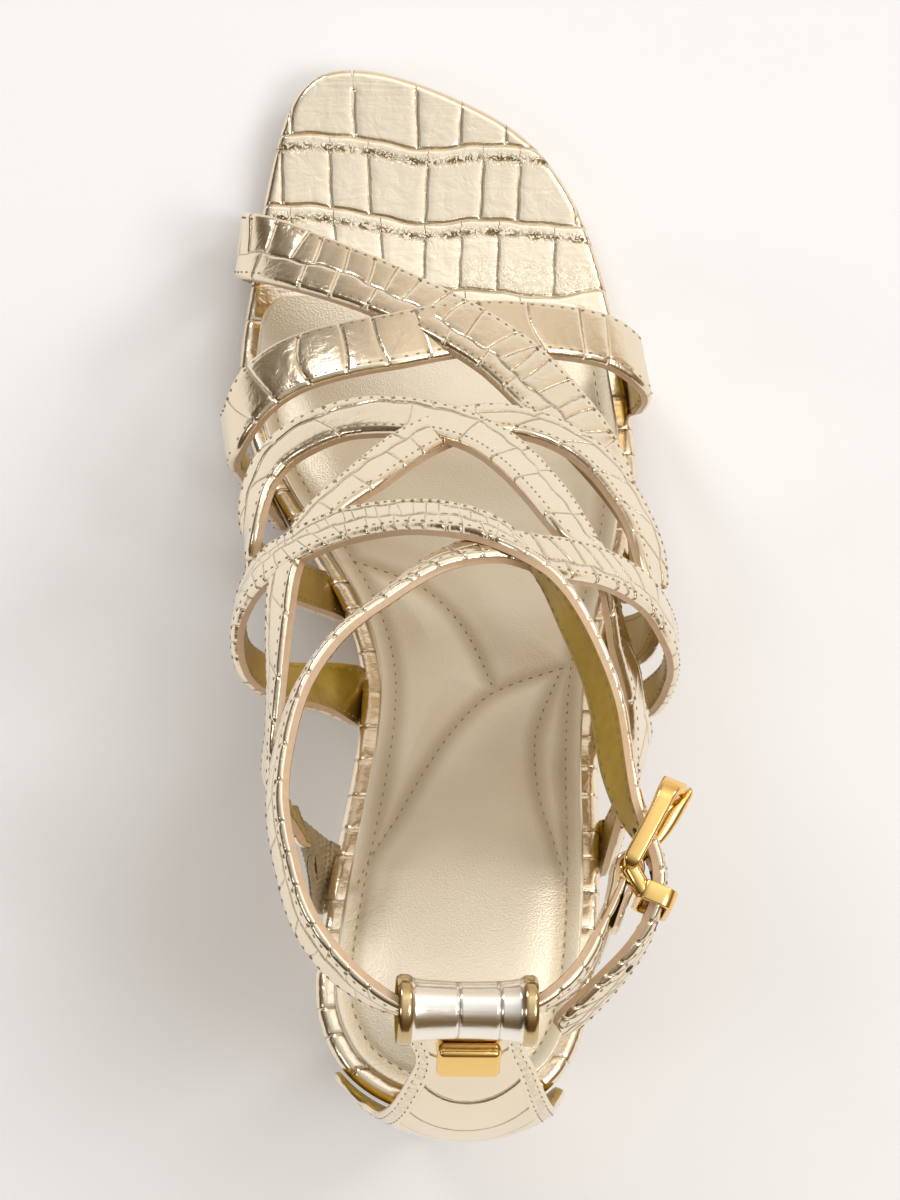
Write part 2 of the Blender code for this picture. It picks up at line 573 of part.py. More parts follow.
# Heel: the covered block under the seat, and its tip.
seat, foot = heel_seat(), heel_foot()
seat_height = np.array([footbed_height(y)[0] - BOARD_THICKNESS - GAP for _, y in seat])
levels = []
for place in (0, 0.04, 0.1, 0.18, 0.3, 0.45, 0.65, 0.85, 1.0):
    wide = (1 - place) ** 2.6
    plan = seat * wide + foot * (1 - wide)
    height = seat_height * (1 - place) + (HEEL_TIP_HEIGHT + GAP) * place
    levels.append([(x, y, z) for (x, y), z in zip(plan, height)])
add_object("heel_block", loft(levels), gold_leather, sandal)
tip = [[(x, y, z) for x, y in foot] for z in (0, HEEL_TIP_HEIGHT)]
add_object("heel_tip", loft(tip), tip_rubber, sandal)

# Counter: wings and tab in one piece of leather, with the barrel made in its top.
rows = []
for height in (0, 3, 6, 9, 12, 15, 19, 24, 29, 34, 39, 44, 48, 52, 55, 57, 59):
    shares = np.linspace(-1, 1, 13)
    inner = [counter_point(share, height) for share in shares]
    outer = [p + counter_normal(share, height) * COUNTER_WALL for p, share in zip(inner, shares)]
    rows.append([*inner, *reversed(outer)])
counter = add_object("heel_counter", loft(rows), gold_leather, sandal)
half = BARREL_LENGTH / 2
barrel = turned((1, 0, 0), BARREL_CENTRE, (
    (-half, 6.5), (-half + 0.7, 6.9), (-half + 2.0, 6.8), (-half + 3.2, 6.2), (0, 6.1),
    (half - 3.2, 6.2), (half - 2.0, 6.8), (half - 0.7, 6.9), (half, 6.5),
), sides=28)
bore = turned((1, 0, 0), BARREL_CENTRE, (
    (-half - 2, 6.8), (-half + 1.5, 5.8), (-half + 5, 5.4),
    (half - 5, 5.4), (half - 1.5, 5.8), (half + 2, 6.8),
), sides=28)
for shape, share in ((barrel, BARREL_DEPTH), (bore, BORE_DEPTH)):
    for vert in shape.verts:
        vert.co.y += (vert.co.y - BARREL_CENTRE[1]) * (share - 1)
barrel = add_object("barrel", barrel, gold_leather, cutters)
bore = add_object("barrel_bore", bore, gold_leather, cutters)
boolean(counter, barrel, "UNION")
boolean(counter, bore, "DIFFERENCE")

# Stud: a plain rounded bar on the tab, just under the barrel.
on_tab, tab_out = counter_point(0, STUD_HEIGHT), counter_normal(0, STUD_HEIGHT)
length, breadth, depth = STUD_SIZE
stud = bmesh.new()
bmesh.ops.create_cube(stud, size=1)
bmesh.ops.scale(stud, vec=STUD_SIZE, verts=stud.verts)
bmesh.ops.bevel(stud, geom=stud.edges[:], offset=1.2, segments=2, affect="EDGES", profile=0.5)
tilt = Vector((0, 0, 1)).rotation_difference(Vector(tab_out)).to_matrix()
bmesh.ops.rotate(stud, matrix=tilt, verts=stud.verts)
centre = on_tab + tab_out * (COUNTER_WALL + GAP + depth / 2)
bmesh.ops.translate(stud, vec=centre, verts=stud.verts)
add_object("heel_stud", stud, gold_metal, sandal)

# Buckle: frame, keeper and the lug between them in one casting.
frame = rectangular_ring(
    BUCKLE_CENTRE, ahead, UP, (BUCKLE_LENGTH - BUCKLE_BAR) / 2, (BUCKLE_HEIGHT - BUCKLE_BAR) / 2,
    BUCKLE_BAR, BUCKLE_DEPTHS, (4.0, 1.6), BUCKLE_SET_BACK, BUCKLE_BULGE,
)
buckle = add_object("buckle", frame, gold_metal, sandal)
keeper_across = (cos(keeper_bearing), -sin(keeper_bearing), 0)
keeper = rectangular_ring(
    KEEPER_CENTRE, keeper_across, UP, (KEEPER_LENGTH - KEEPER_WALL) / 2, (KEEPER_HEIGHT - KEEPER_WALL) / 2,
    KEEPER_WALL, (KEEPER_WIDTH,) * 3, (0.9, 0.9),
)
keeper = add_object("keeper", keeper, gold_metal, cutters)
lug_height = BUCKLE_CENTRE[2] + (BUCKLE_HEIGHT - BUCKLE_BAR) / 2
lug_start, lug_end = [*near_bar[:2], lug_height], [KEEPER_CENTRE[0] - 1.6, KEEPER_CENTRE[1], lug_height - 0.2]
lug = add_object("lug", rod(lug_start, lug_end, 0.75, 8), gold_metal, cutters)
boolean(buckle, keeper, "UNION")
boolean(buckle, lug, "UNION")

# Prong: an eye round the buckle's bar, and a pin through the strap to rest on the far bar.
eye = turned(UP, near_bar, ((-EYE_HALF, FOLD_BORE + 0.8), (EYE_HALF, FOLD_BORE + 0.8)))
prong = add_object("buckle_prong", eye, gold_metal, sandal)
pin = add_object("prong_pin", rod(prong_start, prong_end, PRONG_RADIUS), gold_metal, cutters)
boolean(prong, pin, "UNION")
boolean(prong, fold_bore, "DIFFERENCE")

# Origin: the middle of the finished shoe's box, on the floor.
bpy.context.view_layer.update()
graph = bpy.context.evaluated_depsgraph_get()
corners = []
for piece in sandal.objects:
    mesh = piece.evaluated_get(graph).to_mesh()
    corners += [vert.co.copy() for vert in mesh.vertices]
low = Vector(min(point[axis] for point in corners) for axis in range(3))
high = Vector(max(point[axis] for point in corners) for axis in range(3))
for made in (*sandal.objects, *cutters.objects):
    made.location = (-(low.x + high.x) / 2, -(low.y + high.y) / 2, -low.z)
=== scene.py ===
"""Strappy heeled sandal: the looks of the finished shoe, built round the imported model.

Tables and lengths are in millimetres, measured from the back of the sole: +Y to the toe, +X to the outer
(lateral) side, +Z up from the floor. Finished pieces are in metres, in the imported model's own place.
"""

import bmesh
import bpy
import numpy as np
from math import cos, hypot, pi, radians, sin, tan
from mathutils import Matrix, Vector


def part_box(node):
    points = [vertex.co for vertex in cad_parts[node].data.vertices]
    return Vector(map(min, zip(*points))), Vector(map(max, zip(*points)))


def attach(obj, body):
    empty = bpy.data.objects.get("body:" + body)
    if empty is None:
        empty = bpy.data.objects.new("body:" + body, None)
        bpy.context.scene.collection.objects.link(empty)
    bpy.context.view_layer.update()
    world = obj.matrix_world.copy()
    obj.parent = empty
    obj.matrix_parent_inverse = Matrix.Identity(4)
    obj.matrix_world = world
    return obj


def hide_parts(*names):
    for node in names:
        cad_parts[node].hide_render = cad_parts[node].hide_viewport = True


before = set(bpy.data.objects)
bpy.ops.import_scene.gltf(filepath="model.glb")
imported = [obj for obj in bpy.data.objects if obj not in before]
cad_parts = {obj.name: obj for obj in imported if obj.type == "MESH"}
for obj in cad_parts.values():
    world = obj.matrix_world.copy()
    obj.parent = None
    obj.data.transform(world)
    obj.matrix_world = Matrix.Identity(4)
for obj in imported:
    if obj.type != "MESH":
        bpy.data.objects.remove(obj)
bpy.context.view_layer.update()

# ---------------------------------------------------------------- insole board
# The real board is a moulded fibre shank board, wrapped over its edge in the embossed gold leather. The
# leather shows as the whole toe and as a bare rim round the sock lining. It is glued down, with no stitching.

MM = 0.001
tip_low, tip_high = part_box("heel_tip")
HEEL_TIP_MIDDLE = (2.0, 23.5)  # from the back of the sole, which fixes the tables' place in the model
ORIGIN = np.array([
    (tip_low.x + tip_high.x) / 2 - HEEL_TIP_MIDDLE[0] * MM,
    (tip_low.y + tip_high.y) / 2 - HEEL_TIP_MIDDLE[1] * MM,
    0,
])
BOARD_THICKNESS = 4.0
TOE_COVER_FROM = 174.0  # the leather of the toe is laid in one piece in front of this
PLAN_STEPS, PLAN_LENGTH = 900, 245.0  # steps along each side of the sole's plan, and its length
FAR = 9.0  # a distance at which no crease shows

# Height of the footbed along the middle of the shoe: seat, shank, ball, toe spring.
FOOTBED = (
    # along, height
    (-8, 94.6), (0, 94.0), (20, 91.5), (45, 84.0), (70, 69.0), (95, 48.0), (120, 27.0), (140, 14.6),
    (160, 9.0), (170, 8.0), (180, 7.7), (190, 7.8), (200, 8.6), (225, 12.0), (232, 13.4),
)
HEEL_POINT, TOE_POINT = (1.5, 0.0), (-14.5, 225.0)
SOLE_PLAN = (
    # along, medial, lateral
    (2.2, -10.0, 12.5), (8.5, -19.0, 20.6), (20, -24.0, 25.4), (35, -23.2, 27.6), (52, -20.1, 28.6),
    (70, -16.5, 29.3), (90, -14.3, 31.6), (106, -17.0, 35.0), (120, -23.0, 39.0), (140, -32.8, 42.2),
    (160, -37.2, 40.6), (180, -34.9, 37.0), (196, -32.6, 31.8), (206, -30.6, 25.8), (213, -28.8, 18.8),
    (219.5, -26.0, 6.5), (223.8, -21.4, -6.0),
)
# Grooves across the toe, and the seams that run lengthwise between them, row by row from the tip.
TOE_GROOVES = (
    # across: -36, -24, -12, 0, 12, 24, 36
    (210.6, 211.4, 210.6, 208.6, 209.8, 209.4, 207.6),
    (196.6, 196.9, 195.4, 193.4, 194.6, 193.8, 193.2),
    (180.4, 181.0, 180.6, 180.0, 179.8, 178.6, 180.6),
)
TOE_SEAMS = (
    (-26.4, -13.6, -0.8, 6.5, 15.8),
    (-28.6, -18.8, -11.0, 0.2, 11.4, 18.8, 31.0),
    (-27.0, -18.4, -9.0, 0.3, 7.6, 15.2, 26.6),
    (-22.0, -6.0, 9.0, 20.0),
)
TOE_SEAMS_END, GATHERED = 221.5, 2.6  # where the first seams stop; width of the wrinkles behind a groove


def smooth_table(rows):
    """A function of the first column that passes smoothly, without overshoot, through the other columns."""
    table = np.array(rows, float)
    at, values = table[:, 0], table[:, 1:]
    step = np.diff(at)[:, None]
    slope = np.diff(values, axis=0) / step
    weight_a, weight_b = 2 * step[1:] + step[:-1], step[1:] + 2 * step[:-1]
    turning = slope[:-1] * slope[1:] <= 0
    before, after = np.where(turning, 1.0, slope[:-1]), np.where(turning, 1.0, slope[1:])
    middle = (weight_a + weight_b) / (weight_a / before + weight_b / after)
    tangent = np.vstack([slope[:1], np.where(turning, 0.0, middle), slope[-1:]])

    def read(place):
        place = np.clip(np.asarray(place, float), at[0], at[-1])
        i = np.minimum(np.searchsorted(at, place, side="right") - 1, len(at) - 2)
        span = (at[i + 1] - at[i])[..., None]
        t = (place - at[i])[..., None] / span
        ends = (1 + 2 * t) * (1 - t) ** 2 * values[i] + t * t * (3 - 2 * t) * values[i + 1]
        return ends + span * t * (1 - t) * ((1 - t) * tangent[i] - t * tangent[i + 1])

    return read


def read_between(rows, place, at=None):
    """The rows' values at these places, counted in rows or on the scale that at gives them."""
    scale = np.arange(len(rows)) if at is None else at
    return np.stack([np.interp(place, scale, column) for column in np.transpose(rows)], axis=-1)


def run_along(points):
    """How far along their line each of the points lies."""
    return np.concatenate([[0], np.cumsum(np.linalg.norm(np.diff(points, axis=0), axis=1))])


def unit(vectors):
    return vectors / np.linalg.norm(vectors, axis=-1, keepdims=True)


def ramp(value, low, high):
    """0 up to low, 1 from high on, and even between them."""
    return np.clip((value - low) / (high - low), 0, 1)


def even_points(points, count, closed=False):
    """The points' smooth curve as count + 1 evenly spaced points. It passes through every given point."""
    points = [np.array(p, float) for p in points]
    if closed:
        padded = [points[-1], *points, points[0], points[1]]
    else:
        padded = [2 * points[0] - points[1], *points, 2 * points[-1] - points[-2]]
    dense = []
    for a, b, c, d in zip(padded, padded[1:], padded[2:], padded[3:]):
        knots = np.cumsum([0, *(max(np.linalg.norm(q - p), 1e-6) ** 0.5 for p, q in ((a, b), (b, c), (c, d)))])
        t = np.linspace(knots[1], knots[2], 24, endpoint=False)[:, None]
        rows = [a, b, c, d]
        for level in (1, 2, 3):
            rows = [
                (p * (knots[i + level] - t) + q * (t - knots[i])) / (knots[i + level] - knots[i])
                for i, (p, q) in enumerate(zip(rows, rows[1:]))
            ]
        dense.append(rows[0])
    dense = np.vstack([*dense, padded[-2]])
    run = run_along(dense)
    return read_between(dense, np.linspace(0, run[-1], count + 1), run)


footbed = smooth_table(FOOTBED)
sole_edges = smooth_table(SOLE_PLAN)


def footbed_height(along):
    return footbed(along)[..., 0]


def sole_sides(count):
    """Paired points of the sole's plan, count + 1 a side from heel to toe, with their outward directions."""
    sides = []
    for column in (1, 2):
        rows = [HEEL_POINT, *((row[column], row[0]) for row in SOLE_PLAN), TOE_POINT]
        other = [(row[3 - column], row[0]) for row in SOLE_PLAN]
        ring = [*rows, *reversed(other)]
        loop = even_points(ring, 12 * len(ring), closed=True)
        half = loop[: int(np.argmin(np.linalg.norm(loop - TOE_POINT, axis=1)))]
        points = even_points([*half, TOE_POINT], count)
        ahead = np.gradient(points, axis=0)
        ahead[0], ahead[-1] = (2 * column - 3, 0), (3 - 2 * column, 0)
        ahead = unit(ahead)
        outward = np.stack([ahead[:, 1], -ahead[:, 0]], axis=1) * (2 * column - 3)
        sides.append((points, outward))
    return sides


def mesh_from(name, shape):
    """The finished bmesh as a mesh."""
    mesh = bpy.data.meshes.new(name)
    shape.to_mesh(mesh)
    shape.free()
    return mesh


def put_in_scene(name, data):
    made = bpy.data.objects.new(name, data)
    bpy.context.scene.collection.objects.link(made)
    return made


def new_piece(name, mesh, *looks):
    """A piece of the shoe, with its materials."""
    for look in looks:
        mesh.materials.append(look)
    piece = put_in_scene(name, mesh)
    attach(piece, "root")
    return piece


def skin(name, along, around, shape, looks, zones=()):
    """A piece skinned on a grid. shape moves the grid's points, given as two arrays from 0 to 1.

    It gives their places, their run and across on the surface, their distances from the creases that cross the
    surface and that run along it, and how wrinkled they are. Each look begins at its value of the second array.
    """
    grid = bmesh.new()
    bmesh.ops.create_grid(grid, x_segments=along, y_segments=around, size=0.5)
    for face in grid.faces:
        face.material_index = sum(face.calc_center_median().y + 0.5 > zone for zone in zones) % len(looks)
    mesh = mesh_from(name, grid)
    flat = np.empty(len(mesh.vertices) * 3, np.float32)
    mesh.vertices.foreach_get("co", flat)
    u, v = flat.reshape(-1, 3)[:, 0] + 0.5, flat.reshape(-1, 3)[:, 1] + 0.5
    points, run, across, *marks = shape(u.astype(float), v.astype(float))
    mesh.vertices.foreach_set("co", (points * MM + ORIGIN).astype(np.float32).ravel())
    corner = np.empty(len(mesh.loops), np.int32)
    mesh.loops.foreach_get("vertex_index", corner)
    uv = np.stack([run, across], axis=1)[corner] * MM
    mesh.uv_layers.new(name="surface").data.foreach_set("uv", uv.astype(np.float32).ravel())
    creases = mesh.attributes.new("creases", "FLOAT_VECTOR", "POINT")
    marks = np.stack([*marks, 0 * run][:3], axis=1)
    creases.data.foreach_set("vector", marks.astype(np.float32).ravel())
    shell = bmesh.new()
    shell.from_mesh(mesh)
    bmesh.ops.remove_doubles(shell, verts=shell.verts, dist=2e-6)
    bmesh.ops.dissolve_degenerate(shell, edges=shell.edges, dist=1e-6)
    ends = [edge for edge in shell.edges if edge.is_boundary]
    if ends:
        bmesh.ops.holes_fill(shell, edges=ends, sides=0)
    bmesh.ops.recalc_face_normals(shell, faces=shell.faces)
    shell.to_mesh(mesh)
    shell.free()
    mesh.shade_smooth()
    mesh.set_sharp_from_angle(angle=radians(50))
    return new_piece(name, mesh, *looks)


def alternate(place, lines):
    """Distance from the nearest of the rising lines, with its sign changing at each line."""
    below = sum((place > line).astype(int) for line in lines)
    nearest = np.min([np.abs(place - line) for line in lines], axis=0)
    return nearest * np.where(below % 2, 1, -1)


def pillow(crossing, lengthwise, depth, soft):
    """Height of the scales' raised middles over their creases."""
    nearest = np.minimum(np.abs(crossing), np.abs(lengthwise))
    return depth * (1 - np.exp(-((nearest / soft) ** 2)))


def toe_creases(x, y):
    """Distances from the toe's grooves and from the seams between its scales, and the wrinkles' strength."""
    across = np.linspace(-36, 36, len(TOE_GROOVES[0]))
    smooth = smooth_table(list(zip(across, *TOE_GROOVES)))(x)
    grooves = [smooth[:, k] + 0.12 * np.sin(0.8 * x + 1) for k in (2, 1, 0)]
    crossing = alternate(y, grooves)
    row = 3 - sum((y > groove).astype(int) for groove in grooves)
    lengthwise, wrinkled = np.full_like(x, FAR), np.zeros_like(x)
    for k, seams in enumerate(TOE_SEAMS):
        ahead = (TOE_SEAMS_END if k == 0 else smooth[:, min(k - 1, 2)]) - y
        bent = [at + 0.04 * (y - 195) * (1 if at > 0 else -1) + 0.06 * np.sin(y * 0.9 + at) for at in seams]
        # the seams fade out before they reach the groove ahead, where the leather is gathered
        clear = np.clip((ahead - (0 if k == 0 else GATHERED)) / 1.2, 0, 1)
        near = alternate(x, bent)
        near = np.where(clear < 1, np.sign(near) * (np.abs(near) + 1.5 * (1 - clear)), near)
        lengthwise = np.where(row == k, near, lengthwise)
        if k in (1, 2):
            uneven = 1.0 + 0.6 * np.sin(x * 1.1 + k) * np.sin(x * 0.37)
            band = np.exp(-(((ahead - GATHERED - 0.1) / 0.75) ** 2)) * uneven
            fine = 0.12 * ramp(x, 2, 10) * ramp(-y, -188, -184) if k == 2 else 0
            wrinkled = np.where(row == k, np.maximum(band, fine), wrinkled)
    return crossing, lengthwise, wrinkled


def rim_creases(run, seed):
    """Creases across the rim, unevenly spaced along it."""
    chance = np.random.default_rng(seed)
    lines = np.cumsum(chance.uniform(4.5, 9.5, 60))
    return alternate(run, [line for line in lines if line < run.max() + 10])


class Look:
    """A material or a world made of nodes. Each helper adds a node whose inputs are values or other outputs."""

    def __init__(self, owner):
        owner.use_nodes = True
        self.owner, self.tree = owner, owner.node_tree

    def fill(self, socket, value):
        if isinstance(value, bpy.types.NodeSocket):
            self.tree.links.new(value, socket)
        elif value is not None:
            socket.default_value = (*value, 1) if socket.type == "RGBA" else value  # colours are opaque

    def add(self, kind, **values):
        """A new node's outputs. Each value goes to the input of that name, or else to the node's own setting."""
        node = self.tree.nodes.new("ShaderNode" + kind)
        for key, value in values.items():
            if key.replace("_", " ") in node.inputs:
                self.fill(node.inputs[key.replace("_", " ")], value)
            else:
                setattr(node, key, value)
        return node.outputs

    def calc(self, operation, *values):
        answer = self.add("Math", operation=operation)[0]
        for socket, value in zip(answer.node.inputs, values):
            self.fill(socket, value)
        return answer

    def ease(self, value, low=0.0, high=1.0, start=0.0, end=1.0, smooth=False):
        """start up to low, end from high on."""
        return self.add(
            "MapRange", interpolation_type="SMOOTHSTEP" if smooth else "LINEAR",
            Value=value, From_Min=low, From_Max=high, To_Min=start, To_Max=end,
        )[0]

    def noise(self, scale, detail=2.0, distortion=0.0, place=None):
        place = place or self.add("TexCoord")["Object"]
        return self.add("TexNoise", Vector=place, Scale=scale, Detail=detail, Distortion=distortion)["Fac"]

    def blend(self, share, colour, other):
        return self.add("Mix", data_type="RGBA", Factor=share, A=colour, B=other)["Result"]

    def bump(self, height, strength, distance, below=None):
        return self.add("Bump", Strength=strength, Distance=distance, Height=height, Normal=below)[0]

    def marks(self):
        """The surface's distances from the creases across and along it, and its wrinkles."""
        return self.add("SeparateXYZ", Vector=self.add("Attribute", attribute_name="creases")["Vector"])

    def shade(self, colour, roughness, metallic=0.0, relief=None):
        shader = self.tree.nodes["Principled BSDF"].inputs
        values = {"Base Color": colour, "Roughness": roughness, "Metallic": metallic, "Normal": relief}
        for name, value in values.items():
            self.fill(shader[name], value)
        return self.owner


def embossed_leather(name, colour, crease_colour, roughness, grain=0.05, wrinkle=0.25):
    """Foiled leather pressed with scales: fine creases, darker inside, between pads with a mirror-like film."""
    look = Look(bpy.data.materials.new(name))
    crossing, lengthwise, wrinkled = look.marks()
    nearest = look.calc("SMOOTH_MIN", look.calc("ABSOLUTE", crossing), look.calc("ABSOLUTE", lengthwise), 0.25)
    moved = look.calc("ADD", nearest, look.ease(look.noise(900.0, 3.0), start=-0.10, end=0.12))
    line = look.ease(moved, 0.05, 0.2, 1.0, 0.0, smooth=True)
    trench = look.ease(moved, 0.04, 0.64, 1.0, 0.0, smooth=True)
    worn = look.noise(120.0)
    drawn = look.calc("MULTIPLY", line, look.ease(worn, 0.35, 0.65, 0.15, 0.62))
    # the wrinkles: short squiggles where the third mark asks for them
    squiggle = look.calc("ABSOLUTE", look.calc("SUBTRACT", look.noise(850.0, distortion=0.8), 0.5))
    gathered = look.calc("MULTIPLY", look.ease(squiggle, 0.045, 0.085, 1.0, 0.0, smooth=True), wrinkled)
    dark = look.calc("MAXIMUM", drawn, gathered)
    # relief: soft creasing, streaks across the piece, pores, then the creases and wrinkles
    surface = look.add("UVMap", uv_map="surface")["UV"]
    stretched = look.add("Mapping", Vector=surface, Scale=(420.0, 80.0, 1.0))[0]
    relief = None
    for height, strength, distance in (
        (look.noise(260.0, 3.0, 0.6), wrinkle, 0.0006), (look.noise(1.0, 3.0, 0.5, stretched), 0.16, 0.0004),
        (look.noise(2600.0), grain, 0.0002), (trench, 0.5, -0.0003), (dark, 0.5, -0.0003),
    ):
        relief = look.bump(height, strength, distance, relief)
    film = look.ease(worn, start=roughness * 0.8, end=roughness * 1.25)
    return look.shade(look.blend(dark, colour, crease_colour), film, 1.0, relief)


gold_leather = embossed_leather("gold_embossed_leather", (0.89, 0.775, 0.595), (0.20, 0.13, 0.05), 0.20)


def sole_strip(start, end, u):
    """Points and outward directions of the plan's two sides, u of the way between two places, and their run."""
    sides = []
    for points, outward in sole_sides(PLAN_STEPS):
        first, last = np.interp((start, end), points[:, 1], np.arange(PLAN_STEPS + 1))
        at = first + (last - first) * u
        sides.append((read_between(points, at), unit(read_between(outward, at))))
    return sides, at


def rounded_edges(t, edge):
    """For t across a layer: its turn round the curve at either edge, and its share of the flat between them."""
    turn = np.where(t < edge, t / edge, np.where(t > 1 - edge, (1 - t) / edge, 1.0)) * pi / 2
    return turn, ramp(t, edge, 1 - edge)


def board_shape(start, end, toe):
    """The board between two places along the shoe: over its top from the inner side to the outer, and back."""
    radius, over = 2.0, 0.72  # of the edge's curve; the share of v that goes over the top

    def shape(u, v):
        ((a, a_out), (b, b_out)), at = sole_strip(start, end, u)
        top = v < over
        turn, across = rounded_edges(np.where(top, v / over, (v - over) / (1 - over)), 0.085)
        inset, drop = radius * (1 - np.cos(turn)), radius * (1 - np.sin(turn))
        across = np.where(top, across, 1 - across)
        left, right = a - a_out * inset[:, None], b - b_out * inset[:, None]
        # close to the sides the top's points bunch up, for the rim's relief
        blend = across * across * (3 - 2 * across) * 0.5 + across * 0.5
        plan = left * (1 - blend)[:, None] + right * blend[:, None]
        run = at / PLAN_STEPS * PLAN_LENGTH
        from_left, from_right = np.hypot(*(plan - a).T), np.hypot(*(plan - b).T)
        rim = np.where(from_left < from_right, rim_creases(run, 3), rim_creases(run, 8))
        if toe:
            crossing, lengthwise, wrinkled = toe_creases(*plan.T)
            lift = pillow(crossing, FAR, 0.16, 0.5) + pillow(FAR, lengthwise, 0.12, 0.9) - 0.28
        else:
            crossing, lengthwise, wrinkled = rim, np.full_like(run, FAR), np.zeros_like(run)
            lift = pillow(rim, FAR, 0.12, 0.8) - 0.12
        height = footbed_height(plan[:, 1]) + np.where(top, lift * np.sin(turn) - drop, drop - BOARD_THICKNESS)
        points, from_side = np.column_stack([plan, height]), np.minimum(from_left, from_right)
        return points, run, from_side, crossing, lengthwise, wrinkled

    return shape


board = skin("wrapped_board", 420, 96, board_shape(0, TOE_COVER_FROM, False), [gold_leather])
toe = skin("toe_cover", 190, 220, board_shape(TOE_COVER_FROM, 225, True), [gold_leather])
for piece in (board, toe):
    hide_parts("insole_board")

# ---------------------------------------------------------------- straps
# Each strap is foiled, embossed leather turned over a firm tape, with a plain lining glued and stitched under
# it close to both edges, and its cut edges painted. Its ends are lasted between the board and the outsole.

STRAP_WALL = 2.5
GAP = 0.3
LASTED_END = 2.95  # what is turned under the board at each end
STRAP_STEPS = 800
STITCH_INSET, STITCH_PITCH = 1.25, 2.1
TURNED, LINED, CLOSED = 0.60, 0.66, 0.94  # shares of the way round a strap: outer leather, edge, lining, edge

# The last: sections square to a line that runs up the middle of the foot, from the toe to above the ankle.
LAST = (
    (0, -4, 218, 19, 0, 26, 10, 9), (1, 0, 195, 20, 3, 36, 13, 12), (2, 2, 172, 24, 12, 41, 17, 15),
    (3, 2, 150, 32, 22, 43, 22, 19), (4, 3, 128, 47, 35, 42, 26, 21), (5, 3, 106, 68, 43, 41, 31, 22),
    (6, 2, 86, 92, 51, 41, 35, 27), (7, 0, 67, 119, 62, 37, 38, 36), (8, -2, 53, 147, 80, 33, 40, 41),
    (9, -2, 50, 172, 90, 32, 38, 40),
)

# Routes over the last: station along it, turn round it from the top to the outer side, lift, lean.
TOE_STRAP_OVER = (
    (1.55, -74, 0.0, 15), (1.7, -57, 1.0, 8), (1.95, -39, 1.5, 0), (2.26, -22, 1.6, 0), (2.6, -9, 1.6, 2),
    (2.97, 3, 1.6, 7), (3.44, 14, 1.5, 14), (4.05, 24, 1.0, 18), (4.6, 36, 0.2, 15), (4.85, 50, -2.4, 8),
    (4.95, 66, -5.0, 0), (4.9, 84, -7.0, 0),
)
TOE_STRAP_UNDER = (
    (2.8, 80, -4.2, 0), (2.86, 64, -0.4, -3), (2.8, 48, 0.6, -8), (2.85, 28, 0.6, -11), (2.9, 13, 0.6, -13),
    (2.99, 0, 0.6, -15), (3.14, -14, 0.6, -17), (3.2, -29, 0.6, -17), (3.26, -45, 0.5, -17),
    (3.38, -60, 0.2, -14), (3.5, -78, -0.6, -6), (3.42, -96, -0.9, 0),
)
INSTEP_STRAP_OVER = (
    (4.74, -98, -2.8, 0), (4.8, -80, -1.6, 0), (4.58, -67, 0.0, 5), (4.41, -55, 0.6, 10),
    (4.38, -43, 1.0, 12), (4.4, -29, 1.2, 13), (4.58, -14, 1.0, 13), (4.82, -3, 1.1, 8), (5.17, 6, 1.3, 4),
    (5.66, 14, 1.0, 1), (6.2, 22, 0.3, 0), (6.64, 32, -0.3, 0), (6.73, 42, -0.9, 0), (6.74, 50, -3.8, 0),
    (6.71, 62, -7.0, 0), (6.65, 80, -7.6, 0), (6.58, 101, -6.4, 0), (6.48, 116, -3.0, 0),
)
INSTEP_STRAP_UNDER = (
    (5.65, 94, -6.2, 0), (5.95, 74, -4.8, 0), (6.15, 61, -1.4, 0), (5.82, 53, 0.7, -2), (5.5, 47, 1.1, -4),
    (5.1, 39, 1.3, -6), (4.84, 31, 1.3, -8), (4.64, 21, 0.7, -9), (4.58, 10, 0.4, -9), (4.76, -3, 0.3, -9),
    (5.14, -16, 0.3, -12), (5.58, -27, 0.3, -13), (5.81, -37, 0.1, -10), (6.06, -46, -0.2, -6),
    (6.3, -54, -0.5, 0), (6.48, -63, -2.6, 0), (6.64, -74, -4.4, 0), (6.76, -88, -5.0, 0),
    (6.81, -103, -3.6, 0), (6.77, -116, -0.9, 0), (6.68, -128, 0.6, 0), (6.59, -138, 3.9, 0),
)
ANKLE_STRAP_OVER = (
    (5.46, -134, 0.0, 0), (5.62, -116, 0.0, 0), (5.78, -98, -0.2, 0), (5.84, -82, 0.3, 0),
    (5.92, -67, 0.4, 6), (6.16, -52, 0.4, 8), (6.32, -41, 0.5, 10), (6.47, -32, 0.6, 11),
    (6.82, -16, 0.8, 14), (7.12, -6, 0.9, 15), (7.39, 4, 0.9, 9), (7.64, 14, 0.5, -3), (7.8, 30, -1.6, -27),
    (7.88, 44, -3.8, -36), (7.96, 60, -5.0, -34), (8.02, 73, -5.4, -34), (8.07, 87, -5.2, -30),
    (8.12, 99, -2.6, -16), (8.15, 105, 0.6, -4), (8.17, 112, 4.4, 0), (8.16, 119, 6.1, 0),
    (8.12, 128, 6.9, 9), (8.06, 137, 7.0, 18), (8.0, 146, 7.4, 22), (7.94, 155, 8.8, 24),
)
